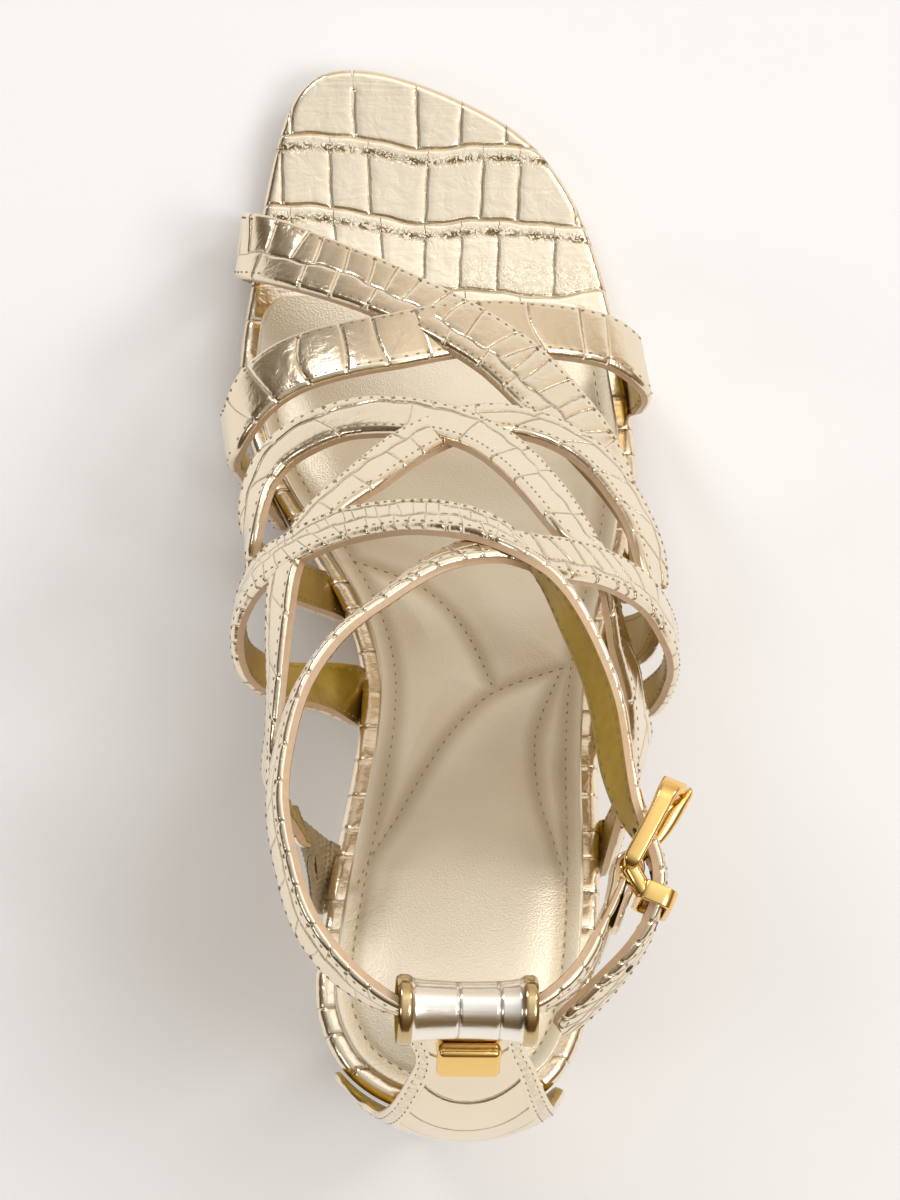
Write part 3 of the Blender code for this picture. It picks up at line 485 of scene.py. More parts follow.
ANKLE_STRAP_UNDER = (
    (5.72, 128, 0.0, 0), (6.0, 106, -2.2, 0), (6.22, 84, -2.0, 0), (6.5, 68, 0.0, 0), (6.6, 57, 0.4, -2),
    (6.8, 46, 0.3, -4), (7.1, 36, 0.1, -8), (7.42, 26, -0.5, -14), (7.61, 12, -0.9, -8), (7.7, -8, -4.2, 4),
    (7.8, -30, -6.4, 6), (7.91, -49, -5.2, 4), (8.03, -68, -3.5, 0), (8.13, -85, -2.3, -6),
    (8.23, -100, -0.8, -10), (8.27, -115, 0.0, -13), (8.31, -129, 1.5, -17), (8.33, -145, 2.1, -17),
    (8.35, -162, 2.1, -3), (8.35, -173, 1.2, 0), (8.35, 178, 1.1, 0), (8.35, 169, 1.5, 0),
    (8.35, 158, 2.8, -3), (8.34, 146, 2.6, -12), (8.29, 137, 1.4, -13), (8.24, 126, 0.3, -10),
)
last_section = smooth_table(LAST)


def last_point(station, turn, lift=0.0):
    """The point of the last at this station and turn, raised by lift square to its section."""
    across, along, height, pitch, half_width, rise, drop = last_section(station)
    turn, pitch = radians(turn), radians(pitch)
    depth = rise if cos(turn) >= 0 else drop
    out = np.array([sin(turn) / half_width, cos(turn) / depth])
    side, up = np.array([half_width * sin(turn), depth * cos(turn)]) + lift * out / np.linalg.norm(out)
    return np.array([across + side, along + up * sin(pitch), height + up * cos(pitch)])


def last_normal(station, turn):
    """The outward direction of the last's surface."""
    back, front = max(station - 0.2, 0), min(station + 0.2, 9)
    forward = last_point(front, turn) - last_point(back, turn)
    normal = np.cross(forward, last_point(station, turn + 3) - last_point(station, turn - 3))
    outward = last_point(station, turn) - last_section(station)[:3]
    return unit(normal) * (1 if normal @ outward > 0 else -1)


def sole_anchor(side, along):
    """Where a strap passes the board's edge: a point beside it and one below, and the outward direction."""
    places = (along - 2, along, along + 2)
    behind, edge, front = (np.array([sole_edges(y)[0 if side < 0 else 1], y]) for y in places)
    run = front - behind
    out = np.array([run[1], -run[0]]) / hypot(*run) * side
    floor = footbed_height(along)
    edge = edge + out * (GAP + STRAP_WALL / 2 + 0.1)
    beside, below = (np.array([*edge, floor - down]) for down in (BOARD_THICKNESS / 2, BOARD_THICKNESS + 3))
    return beside, below, (*out, 0.0)


def strap_route(rows, start, end, widths, stretch=(0.0, 1.0), more=()):
    """Closely spaced points along a strap's middle: place, way along, outward, way across, run and width."""
    points = [(*last_point(*row[:3]), *last_normal(*row[:2]), radians(row[3])) for row in rows]
    if start:
        beside, below, outward = sole_anchor(*start)
        points = [(*below, *outward, 0), (*beside, *outward, 0), *points]
    if end:
        beside, below, outward = sole_anchor(*end)
        points += [(*beside, *outward, 0), (*below, *outward, 0)]
    points += [(*point, *normal, 0) for point, normal in more]
    steps = 1000
    whole = even_points(points, steps)
    tucked = LASTED_END / run_along(whole[:, :3])[-1]
    first, last = max(stretch[0], tucked if start else 0), min(stretch[1], 1 - tucked if end else 1)
    share = np.linspace(first, last, STRAP_STEPS + 1)
    route = read_between(whole, share * steps)
    for anchor, rows_in in ((start, route), (end, route[::-1])):
        if anchor:
            # the last few millimetres bend in under the board
            gone = run_along(rows_in[:, :3])
            rows_in[:, :3] -= rows_in[:, 3:6] * (1.4 * np.clip(1 - gone / 3.0, 0, 1) ** 2)[:, None]
    place = route[:, :3]
    ahead = unit(np.gradient(place, axis=0))
    normal = unit(route[:, 3:6] - ahead * np.sum(route[:, 3:6] * ahead, axis=1)[:, None])
    side = np.cross(ahead, normal)
    turn = route[:, 6:7]
    normal, side = normal * np.cos(turn) + side * np.sin(turn), side * np.cos(turn) - normal * np.sin(turn)
    narrowed = np.minimum(1, 2 * (share - stretch[0]) / (stretch[1] - stretch[0]))
    width = widths[0] + (widths[1] - widths[0]) * narrowed
    return np.column_stack([place, ahead, normal, side, run_along(place), width])


def along_strap(route, u):
    """The strap u of the way along it: its place, outward and across directions, run and width."""
    rows = read_between(route, u * STRAP_STEPS)
    return rows[:, :3], rows[:, 6:9], rows[:, 9:12], rows[:, 12], rows[:, 13]


def strap_creases(run, across, half, joins, pitches, slant, seed):
    """The scales pressed into a strap: rows, each of its own pitch, that meet at joins, shares of the half width."""
    chance = np.random.default_rng(seed)
    wavy = [
        half * (join + 0.16 * np.sin(run * 0.07 + 5 * join))
        + 0.3 * np.sin(run * 0.31 + 6 * join) + 0.2 * np.sin(run * 0.83 + seed)
        for join in joins
    ]
    row = sum(((across > line).astype(int) for line in wavy), np.zeros(run.shape, int))
    crossing = np.full_like(run, FAR)
    lengthwise = alternate(across, wavy) if joins else crossing
    for k, pitch in enumerate(pitches):
        at, lines = chance.uniform(-2 * pitch, 0), []
        while at < run.max() + 2 * pitch:
            lines.append((at, slant + chance.normal(0, 0.16), chance.normal(0, 0.02)))
            at += pitch * chance.uniform(0.65, 1.4)
        bent = [at + slope * across + bend * across**2 for at, slope, bend in lines]
        crossing = np.where(row == k, alternate(run, bent), crossing)
    return crossing, lengthwise


def strap_shape(route, joins, pitches, slant, seed, thickness):
    """A strap round its section: outer face, turned edge, lining, turned edge."""

    def shape(u, v):
        place, normal, side, run, width = along_strap(route, u)
        wall, half = thickness(run), width / 2
        corner = np.minimum(np.minimum(1.15, wall * 0.46), half * 0.45)
        flat, lining_half = half - corner, half - 0.15
        rise, fall = ramp(v, 0, 0.08) * pi / 2, ramp(v, 0.52, TURNED) * pi / 2
        down, up = ramp(v, TURNED, LINED), ramp(v, CLOSED, 1)
        places = (
            # from, across, outward
            (0.0, -flat - corner * np.cos(rise), wall / 2 - corner * (1 - np.sin(rise))),
            (0.08, flat * (2 * ramp(v, 0.08, 0.52) - 1), wall / 2),
            (0.52, flat + corner * np.sin(fall), wall / 2 - corner * (1 - np.cos(fall))),
            (TURNED, half - 0.15 * np.minimum(down * 6, 1), wall / 2 - corner - down * (wall - corner)),
            (LINED, lining_half * (1 - 2 * ramp(v, LINED, CLOSED)), -wall / 2),
            (CLOSED, -half + 0.15 * np.minimum((1 - up) * 6, 1), -wall / 2 + up * (wall - corner)),
        )
        zone = sum((v >= row[0]).astype(int) for row in places) - 1
        a, b = (np.choose(zone, [np.broadcast_to(row[k], v.shape) for row in places]) for k in (1, 2))
        crossing, lengthwise = strap_creases(run, a, half, joins, pitches, slant, seed)
        seam = half - np.abs(a) - STITCH_INSET
        lift = pillow(crossing, lengthwise, 0.12, 0.8) - 0.12
        crown = 0.22 * (1 - (a / np.maximum(half, 0.1)) ** 2) - 0.10 * np.exp(-((seam / 0.35) ** 2)) - 0.06
        b = b + np.where(v < TURNED, (lift + crown) * np.sin(rise) * np.cos(fall), 0)
        return place + side * a[:, None] + normal * b[:, None], run, a, crossing, lengthwise

    return shape


def grained(name, dark, light, scale, roughness, metallic=0.0, strength=0.2, detail=4.0, depth=0.0003):
    """A finish with a fine grain, mottled between two colours if it has two."""
    look = Look(bpy.data.materials.new(name))
    mottle = look.noise(scale, detail)
    colour = look.blend(mottle, dark, light) if light else dark
    relief = look.bump(mottle, strength, depth) if strength else None
    return look.shade(colour, roughness, metallic, relief)


edge_paint = grained("edge_paint", (0.58, 0.38, 0.22), (0.74, 0.53, 0.34), 700.0, 0.35)
lining = grained("strap_lining", (0.34, 0.21, 0.015), (0.50, 0.33, 0.04), 500.0, 0.32, 0.75)

STRAPS = (
    # name, route, start, end, widths, stretch,
    # lengthwise creases, length of the scales in each row, slant, seed
    ("toe_strap_over", TOE_STRAP_OVER, (-1, 188), (1, 118), (13.4, 13.4), (0, 1),
     (0.28,), (5.2, 9.0), 0.25, 11),
    ("toe_strap_under", TOE_STRAP_UNDER, (1, 161), (-1, 134), (13.0, 13.0), (0, 1),
     (), (8.0,), 0.05, 12),
    ("instep_strap_over", INSTEP_STRAP_OVER, (-1, 111), (1, 53), (10.8, 10.8), (0, 1),
     (-0.35,), (13, 15), 0.6, 13),
    ("instep_strap_under", INSTEP_STRAP_UNDER, (1, 99), (-1, 46), (10.5, 10.0), (0, 0.9285),
     (0.3,), (9, 12), -0.5, 14),
    ("ankle_strap_over", ANKLE_STRAP_OVER, (-1, 86), None, (11.6, 9.2), (0, 1),
     (0.1, -0.45), (3.4, 3.0, 3.8), 0.9, 15),
    ("ankle_strap_under", ANKLE_STRAP_UNDER, (1, 80), None, (11.6, 9.2), (0, 1),
     (-0.3,), (5.5, 6.5), 0.2, 16),
)
BUCKLE_CENTRE, BUCKLE_BEARING, BUCKLE_SET_BACK = (31.3, 42.6, 149.4), radians(22.0), 1.2
BUCKLE_LENGTH, BUCKLE_HEIGHT, BUCKLE_BAR = 18.5, 15.0, 2.0
buckle_ahead = np.array([sin(BUCKLE_BEARING), cos(BUCKLE_BEARING), 0])
buckle_out = np.array([cos(BUCKLE_BEARING), -sin(BUCKLE_BEARING), 0])
bar_reach = (BUCKLE_LENGTH - BUCKLE_BAR) / 2
near_bar = np.array(BUCKLE_CENTRE) - buckle_ahead * bar_reach - buckle_out * BUCKLE_SET_BACK
STRAP_LOOKS = [gold_leather, edge_paint, lining, edge_paint]


def by_bar(ahead, out):
    """A place beside the buckle's bar, given along the buckle and outwards."""
    return near_bar + buckle_ahead * ahead + buckle_out * out


THIN_WALL, NOSE = 1.3, 4.6  # of a skived end; the length of the ankle strap's rounded tip
STRAP_GRID = 0.55  # distance between the grid's rows along a strap
strap_routes = {}
for name, rows, start, end, widths, stretch, joins, pitches, slant, seed in STRAPS:
    into_loop = name == "ankle_strap_under"
    more = [(by_bar(-3.2, 0.1), buckle_out)] if into_loop else ()
    route = strap_routes[name] = strap_route(rows, start, end, widths, stretch, more)
    length = route[-1, 12]
    if name == "ankle_strap_over":
        tip = np.clip((route[:, 12] - length + NOSE) / NOSE, 0, 1)
        route[:, 13] *= np.sqrt(np.maximum(1 - tip**2, 1e-4))

    def thickness(run, into_loop=into_loop, whole=length, ends=(start, end)):
        """Full thickness, skived where the strap is lasted under the board or runs into the buckle's loop."""
        first = np.clip(run / 3, 0, 1) if ends[0] else 1
        last = np.clip((whole - run) / 3, 0, 1) if ends[1] else 1
        if into_loop:
            last = np.clip((whole - run - 8) / 4, 0, 1)
        return THIN_WALL + (STRAP_WALL - THIN_WALL) * first * last

    shape = strap_shape(route, joins, pitches, slant, seed, thickness)
    strap = skin(name, round(length / STRAP_GRID), 56, shape, STRAP_LOOKS, zones=(TURNED, LINED, CLOSED))
    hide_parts("upper_straps")

# The loop that holds the buckle: one strip folded round its bar, over both sides of the strap's end.
under = [(by_bar(*spot), -buckle_out) for spot in ((-10.5, -0.9), (-6.5, -1.0), (-3, -1.5))]
over = [(by_bar(*spot), buckle_out) for spot in ((-3, 1.75), (-6.5, 1.7), (-10.5, 1.9))]
turns = [
    (by_bar(2.25 * sin(turn), -2.25 * cos(turn)), buckle_ahead * sin(turn) - buckle_out * cos(turn))
    for turn in np.linspace(0, pi, 7)
]
fold_route = strap_route((), None, None, (9.2, 9.2), more=[*under, *turns, *over])
shape = strap_shape(fold_route, (), (6.0,), 0.1, 17, lambda run: 1.1 + 0 * run)
loop = skin("buckle_loop", 56, 56, shape, STRAP_LOOKS, zones=(TURNED, LINED, CLOSED))
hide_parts("upper_straps")

# Holes punched along the tail for the prong, each drawn as a near-black plug: painted shade where the hole is.


def set_at(place, ahead, side, out):
    """The matrix that takes something made at the origin to its place and its three directions."""
    return Matrix.Translation(Vector(place * MM + ORIGIN)) @ Matrix((ahead, side, out)).transposed().to_4x4()


HOLE_RADIUS, HOLE_FROM_TIP = 0.85, 33.5
punched = bmesh.new()
tail = strap_routes["ankle_strap_over"]
for place in np.arange(-8.5, 18, 8.5):
    row = read_between(tail, tail[-1, 12] - HOLE_FROM_TIP + place, tail[:, 12])
    spot = set_at(row[:3], row[3:6], np.cross(row[6:9], row[3:6]), row[6:9])
    bmesh.ops.create_cone(
        punched, cap_ends=True, segments=20, radius1=HOLE_RADIUS * MM, radius2=HOLE_RADIUS * MM,
        depth=(STRAP_WALL + 0.32) * MM, matrix=spot,
    )
# painted shade: a near-black finish for the plugs, standing in for the shade inside each hole
painted_hole_shade = grained("painted_hole_shade", (0.03, 0.02, 0.012), (0.09, 0.06, 0.035), 3000.0, 0.9, strength=0, detail=2.0)
holes = new_piece("hole_shade_plugs", mesh_from("hole_shade_plugs", punched), painted_hole_shade)

# ---------------------------------------------------------------- stitching
# Gold-brown thread in a lockstitch, close to both edges of every strap, sunk a little into the leather. Each
# stitch is a short bead of thread; on the lining side the same thread comes through.

# length and radius of a bead of thread on the outer face and on the lining
OUTER_BEAD, LINING_BEAD = (STITCH_PITCH * 0.42, 0.25), (STITCH_PITCH * 0.6, 0.16)
bead = bmesh.new()
bmesh.ops.create_uvsphere(bead, u_segments=6, v_segments=4, radius=1)
stitch_bead = mesh_from("stitch_bead", bead)


def add_stitch(thread, place, ahead, normal, length, radius):
    """One bead of thread, an ellipsoid half sunk in the leather."""
    grow = Matrix.Diagonal((length / 2 * MM, radius * MM, radius * 0.9 * MM, 1))
    spot = set_at(place, ahead, np.cross(normal, ahead), normal) @ grow
    stitch_bead.transform(spot)
    thread.from_mesh(stitch_bead)
    stitch_bead.transform(spot.inverted())


def finish_stitches(name, thread):
    bmesh.ops.recalc_face_normals(thread, faces=thread.faces)
    mesh = mesh_from(name, thread)
    mesh.shade_smooth()
    return new_piece(name, mesh, thread_look)


thread_look = grained(
    "gold_thread", (0.24, 0.18, 0.09), (0.44, 0.35, 0.21), 2500.0, 0.55, strength=0.4, detail=2.0, depth=0.0002
)
for name, route in strap_routes.items():
    thread = bmesh.new()
    run = route[:, 12]
    unsewn = 12.5 if name == "ankle_strap_under" else 1  # that seam stops where the buckle's loop begins
    for spot in np.arange(1.5, run[-1] - unsewn, STITCH_PITCH):
        row = read_between(route, spot, run)
        at, ahead, normal, side = row[:3], unit(row[3:6]), unit(row[6:9]), row[9:12]
        for edge in (-1, 1):
            seam = at + side * edge * (row[13] / 2 - STITCH_INSET)
            above, below = seam + normal * (STRAP_WALL / 2 - 0.10), seam - normal * STRAP_WALL / 2
            add_stitch(thread, above, ahead, normal, *OUTER_BEAD)
            add_stitch(thread, below, ahead, normal, *LINING_BEAD)
    finish_stitches(name + "_stitches", thread)

# ---------------------------------------------------------------- elastic gore
# A ribbed bronze-gold elastic, zigzag stitched to the end of the inner instep strap and lasted under the board,
# so that the strap gives when the foot goes in. It is fabric: its ribs run along the strap.

GORE_WIDTH, GORE_THICKNESS = 13.0, 1.2
gore_route = strap_route(INSTEP_STRAP_UNDER, (1, 99), (-1, 46), (GORE_WIDTH, GORE_WIDTH), (0.9315, 1))
FACE, EDGE, BACK = 0.46, 0.50, 0.96  # where the face of a thin sheet, its first edge and its back end


def round_sheet(v):
    """For v round a thin sheet: its way across, its side from 1 to -1, and how far the edges bulge."""
    first, last = ramp(v, FACE, EDGE) * pi, ramp(v, BACK, 1) * pi
    across = np.where(v < EDGE, ramp(v, 0, FACE), 1 - ramp(v, EDGE, BACK))
    side = np.select([v < EDGE, v < BACK], [np.cos(first), -1 + 0 * v], -np.cos(last))
    return across, side, np.sin(first) - np.sin(last)


def gore_shape(u, v):
    place, normal, side, run, _ = along_strap(gore_route, u)
    across, above, bulge = round_sheet(v)
    a = GORE_WIDTH / 2 * (2 * across - 1) + 0.3 * bulge
    ribs = 0.16 * np.cos(a * 2 * pi / 1.1) + 0.1 * np.sin(run * 2 * pi / 1.6 + a * 0.8)
    flat = (v < FACE) | ((v >= EDGE) & (v < BACK))
    b = above * (GORE_THICKNESS / 2 + ribs * flat)
    return place + side * a[:, None] + normal * b[:, None], run, a, np.full_like(u, FAR), np.full_like(u, FAR)


elastic = grained(
    "bronze_elastic", (0.30, 0.22, 0.11), (0.55, 0.44, 0.27), 1800.0, 0.5, 0.35, strength=0.6, detail=3.0
)
gore = skin("ribbed_gore", 60, 120, gore_shape, [elastic])
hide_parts("elastic_gore")

# ---------------------------------------------------------------- heel counter and barrel
# The counter is a stiffened leather cup round the back of the heel. Its tab rises to carry the barrel, a rolled
# tube of polished gold leather with turned lips, and the ankle strap slides through that.

COUNTER = (
    # height, bulge beyond the board, reach round the medial side, reach round the lateral side
    (0, 0.0, 24.0, 18.5), (5, 1.5, 23.0, 18.0), (8, 2.3, 20.0, 16.5), (11, 3.0, 16.0, 15.0),
    (14, 3.6, 14.4, 14.2), (20, 4.2, 13.4, 13.4), (28, 3.4, 12.4, 12.4), (36, 0.6, 11.6, 11.6),
    (44, -3.6, 11.0, 11.0), (50, -6.8, 10.6, 10.6), (56, -9.4, 10.6, 10.6), (59, -10.2, 10.6, 10.6),
)
COUNTER_WALL = 1.6
COUNTER_EASE, COUNTER_FLAT_FROM, COUNTER_FLAT_AT = 30.0, 42.0, 57.0
COUNTER_TOP = 58.0
BARREL_CENTRE, BARREL_HALF = (-0.8, 10.4, 152.0), 12.0
BARREL_OUTSIDE = 0.6  # the share of v on its outer face
TAB_SEAMS, TAB_CREASES = (0.8, 2.4), (19.0, 27.0, 37.0, 47.0)  # in from the tab's edge; heights up it
counter_section = smooth_table(COUNTER)
heel_back = sole_sides(360)
HEEL_BACK_STEP = float(np.linalg.norm(heel_back[0][0][6] - heel_back[0][0][5]))


def counter_point(share, height):
    """Points of the counter's inner face: share runs from -1 at its medial edge to 1 at its lateral one."""
    bulge, medial_reach, lateral_reach = counter_section(height).T
    round_by = share * np.where(share < 0, medial_reach, lateral_reach)
    place = np.abs(round_by) / HEEL_BACK_STEP
    inner, outer = (read_between(np.hstack(side), place) for side in heel_back)
    at, away = np.hsplit(np.where(share[:, None] < 0, inner, outer), 2)
    away = unit(away)
    curved = at + away * (GAP + bulge * (1 - (round_by / COUNTER_EASE) ** 2))[:, None]
    flat = np.column_stack([BARREL_CENTRE[0] + round_by, -GAP - bulge])
    part = ramp(height, COUNTER_FLAT_FROM, COUNTER_FLAT_AT)
    part = (part * part * (3 - 2 * part))[:, None]
    under = footbed_height(at[:, 1]) - BOARD_THICKNESS
    return np.column_stack([curved * (1 - part) + flat * part, under + height])


def counter_normal(share, height):
    before, after = np.maximum(share - 0.05, -1), np.minimum(share + 0.05, 1)
    run = counter_point(after, height) - counter_point(before, height)
    rise = counter_point(share, height + 1) - counter_point(share, np.maximum(height - 1, 0))
    return unit(np.cross(run, rise))


def tab_reach(reach, height):
    """How far round the tab's stitched edge lies, where the counter reaches so far."""
    return np.minimum(reach, 18.6 - 0.25 * np.minimum(height, 20))


def counter_shape(u, v):
    share = np.sin((u - 0.5) * pi) * 0.35 + (2 * u - 1) * 0.65
    across, side, _ = round_sheet(v)
    height = COUNTER_TOP * across
    reach = np.where(share < 0, *counter_section(height).T[1:])
    round_by, from_edge = share * reach, (1 - np.abs(share)) * reach
    soft = np.sqrt(np.clip(1 - (1 - np.clip(from_edge / 0.8, 0, 1)) ** 2, 0, 1))
    outside = np.abs(round_by) - tab_reach(reach, height)
    bowed = height - 8.0 * ((round_by + 1.0) / 12) ** 2
    crossing = np.where(outside > -3.0, FAR, alternate(bowed, TAB_CREASES))
    lift = pillow(crossing, FAR, 0.10, 0.6) - 0.25 + 0.35 * (1 - np.clip(outside / 0.5, 0, 1))
    for seam in TAB_SEAMS:
        lift = lift - 0.10 * np.exp(-(((outside + seam) / 0.3) ** 2))
    lift = lift * np.clip(ramp(v, 0, FACE) * 20, 0, 1) * np.clip((FACE - v) * 60, 0, 1)  # on the face only
    out = counter_normal(share, height)
    points = counter_point(share, height) + out * COUNTER_WALL / 2
    points = points + out * (side * COUNTER_WALL / 2 + lift)[:, None] * soft[:, None]
    wrinkled = np.where((outside > -TAB_SEAMS[1]) & (outside < -TAB_SEAMS[0]) & (v < FACE), 0.15, 0.0)
    return points, height, round_by, crossing, np.full_like(u, FAR), wrinkled


edges = ((FACE + EDGE) / 2, (BACK + 1) / 2)
counter = skin("counter_and_tab", 150, 250, counter_shape, [gold_leather, lining], zones=edges)
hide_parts("heel_counter")

LIP_CREASE = (0.30, 0.22, 0.10)
polished = embossed_leather("polished_gold_leather", (0.95, 0.90, 0.81), LIP_CREASE, 0.20, 0.01, 0.04)
lip_gold = embossed_leather("bronzed_lip", (0.62, 0.47, 0.25), LIP_CREASE, 0.16, 0.02, 0.05)
BARREL_PROFILE = (
    # along, depth radius, height radius
    (-12.0, 5.7, 6.5), (-11.3, 6.1, 6.9), (-10.2, 6.1, 6.9), (-9.5, 5.8, 6.6), (-9.0, 5.5, 6.25),
    (-6, 5.1, 6.0), (0, 4.9, 5.85), (6, 5.1, 6.0),
    (9.0, 5.5, 6.25), (9.5, 5.8, 6.6), (10.2, 6.1, 6.9), (11.3, 6.1, 6.9), (12.0, 5.7, 6.5),
)
barrel_section = smooth_table(BARREL_PROFILE)


def barrel_shape(u, v):
    turn = u * 2 * pi
    out = v < BARREL_OUTSIDE
    along = BARREL_HALF * np.where(out, 2 * ramp(v, 0, BARREL_OUTSIDE) - 1, 1 - 2 * ramp(v, BARREL_OUTSIDE, 1))
    crossing = np.where(out, alternate(along, [-1.5, 5.5]), FAR)
    wall = 0.6 * np.sqrt(1 - ramp(np.abs(along), 10.5, BARREL_HALF) ** 2)
    lift = np.where(out, -0.04 * np.exp(-((crossing / 0.3) ** 2)), -wall)
    depth, height = barrel_section(along).T + lift
    points = np.array(BARREL_CENTRE) + np.column_stack([along, depth * np.cos(turn), height * np.sin(turn)])
    return points, turn * 6, along, crossing, np.full_like(u, FAR)


barrel_looks = [lip_gold, polished, lip_gold, lining]
barrel = skin("barrel", 96, 160, barrel_shape, barrel_looks, zones=(0.065, 0.535, BARREL_OUTSIDE))
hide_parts("heel_counter")

tab_thread = bmesh.new()
for edge in (-1, 1):
    for height in np.arange(2.0, 53, 2.0):
        height = np.array([height, height + 0.5])
        reach = counter_section(height)[:, 1 if edge < 0 else 2]
        for seam in TAB_SEAMS:
            share = edge * (tab_reach(reach, height) - seam) / reach
            out = counter_normal(share, height)
            ends = counter_point(share, height) + out * (COUNTER_WALL + 0.12)
            add_stitch(tab_thread, ends[0], unit(ends[1] - ends[0]), out[0], 0.8, 0.13)
finish_stitches("tab_stitches", tab_thread)

# ---------------------------------------------------------------- stud
# A plain rounded bar of gilded metal, cast and polished, that sits on the tab under the barrel. It is riveted
# to the tab and carries no mark.

STUD_HEIGHT, STUD_SIZE = 50.0, (11.0, 7.5, 3.0)
look = Look(bpy.data.materials.new("gold_metal"))
smear = look.noise(300.0, 3.0)
film = look.ease(smear, start=0.10, end=0.24)
gold_metal = look.shade((0.93, 0.62, 0.22), film, 1.0, look.bump(smear, 0.04, 0.0003))

here = np.array([0.0])
on_tab, tab_out = counter_point(here, here + STUD_HEIGHT)[0], counter_normal(here, here + STUD_HEIGHT)[0]
stud = bmesh.new()
bmesh.ops.create_cube(stud, size=1)
bmesh.ops.scale(stud, vec=STUD_SIZE, verts=stud.verts)
bmesh.ops.bevel(stud, geom=stud.edges[:], offset=1.1, segments=5, affect="EDGES", profile=0.5, material=-1)
tilt = Vector((0, 0, 1)).rotation_difference(Vector(tab_out)).to_matrix()
bmesh.ops.rotate(stud, matrix=tilt, verts=stud.verts)
bmesh.ops.translate(stud, vec=on_tab + tab_out * (COUNTER_WALL + 0.3 + STUD_SIZE[2] / 2), verts=stud.verts)


def metal_piece(name, shape, look, *stands_for):
    """A finished metal piece from a mesh in millimetres."""
    bmesh.ops.scale(shape, vec=(MM, MM, MM), verts=shape.verts)
    bmesh.ops.translate(shape, vec=ORIGIN, verts=shape.verts)
    bmesh.ops.recalc_face_normals(shape, faces=shape.faces)
    mesh = mesh_from(name, shape)
    mesh.shade_smooth()
    mesh.set_sharp_from_angle(angle=radians(40))
    piece = new_piece(name, mesh, look)
    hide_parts(*stands_for)
    return piece


metal_piece("tab_stud", stud, gold_metal, "heel_stud")

# ---------------------------------------------------------------- outsole
# A thin moulded outsole, stained at its edge. It is cemented under the board and the turned ends of the straps,
# from the heel breast to the toe.

OUTSOLE_THICKNESS, HEEL_BREAST = 3.7, 50.0


def layer_shape(start, end, inset, top, bottom, radius, relief=None):
    """A layer that follows the footbed between two places along the shoe, with rounded sides."""
    over, back = 0.6, 0.96  # of v: over the top, back underneath, then up the wall on the inner side

    def shape(u, v):
        upper = v < over
        turn, across = rounded_edges(np.where(upper, v / over, 1 - ramp(v, over, back)), 0.06)
        sides, at = sole_strip(start, end, u)
        curve = radius * (1 - np.cos(turn))
        inner, outer = (points - out * (inset(points[:, 1]) + curve)[:, None] for points, out in sides)
        plan = inner * (1 - across)[:, None] + outer * across[:, None]
        drop = radius * (1 - np.sin(turn))
        offset = np.where(upper, top - drop, bottom + drop) + ramp(v, back, 1) * (top - bottom - 2 * radius)
        crossing = lengthwise = np.full_like(u, FAR)
        if relief is not None:
            rise, crossing = relief(plan)
            offset = offset + np.where(upper, rise * np.sin(turn), 0)
        height = footbed_height(plan[:, 1]) + offset
        return np.column_stack([plan, np.maximum(height, 0)]), at, plan[:, 0], crossing, lengthwise

    return shape


sole_look = grained(
    "outsole_leather", (0.40, 0.28, 0.16), (0.56, 0.42, 0.27), 260.0, 0.5,
    strength=0.25, detail=6.0, depth=0.0004,
)
top, bottom = -BOARD_THICKNESS, -BOARD_THICKNESS - OUTSOLE_THICKNESS
sole_layer = layer_shape(HEEL_BREAST + GAP, TOE_POINT[1], lambda along: 0.4, top, bottom, 0.6)
outsole = skin("moulded_outsole", 240, 72, sole_layer, [sole_look])
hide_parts("outsole")

# ---------------------------------------------------------------- heel
# A slender moulded heel, wrapped in the same embossed leather with its seam at the breast, and screwed through
# the board into its seat. Its tip is a separate rubber top piece.

HEEL_TIP_HEIGHT = 6.0
HEEL_TIP_BACK, HEEL_TIP_FRONT, HEEL_TIP_HALF = 14.0, 33.0, 11.0
HEEL_STEPS, BREAST_FROM, CAP = 24, 0.8, 0.03  # round the heel; its breast's share of v; its ends' shares of u


def heel_seat():
    """The sole's plan behind the heel breast, from its lateral corner round the back to the medial one."""
    medial, lateral = (
        [p - out * GAP for p, out in zip(*side) if p[1] < HEEL_BREAST - 2] for side in sole_sides(60)
    )
    inner_x, outer_x = sole_edges(HEEL_BREAST)
    back = [*lateral[::-1], *medial[1:]]
    return even_points([(outer_x - GAP, HEEL_BREAST), *back, (inner_x + GAP, HEEL_BREAST)], HEEL_STEPS)


def heel_foot():
    """The plan of the heel at the floor: a D with its straight side in front."""
    middle, bend = HEEL_POINT[0] + 0.5, HEEL_TIP_FRONT - 9.0
    turns = np.linspace(0, pi, 13)
    arc = [(middle + HEEL_TIP_HALF * cos(turn), bend - (bend - HEEL_TIP_BACK) * sin(turn)) for turn in turns]
    return even_points([(arc[0][0], HEEL_TIP_FRONT), *arc, (arc[-1][0], HEEL_TIP_FRONT)], HEEL_STEPS)


seat, foot = heel_seat(), heel_foot()


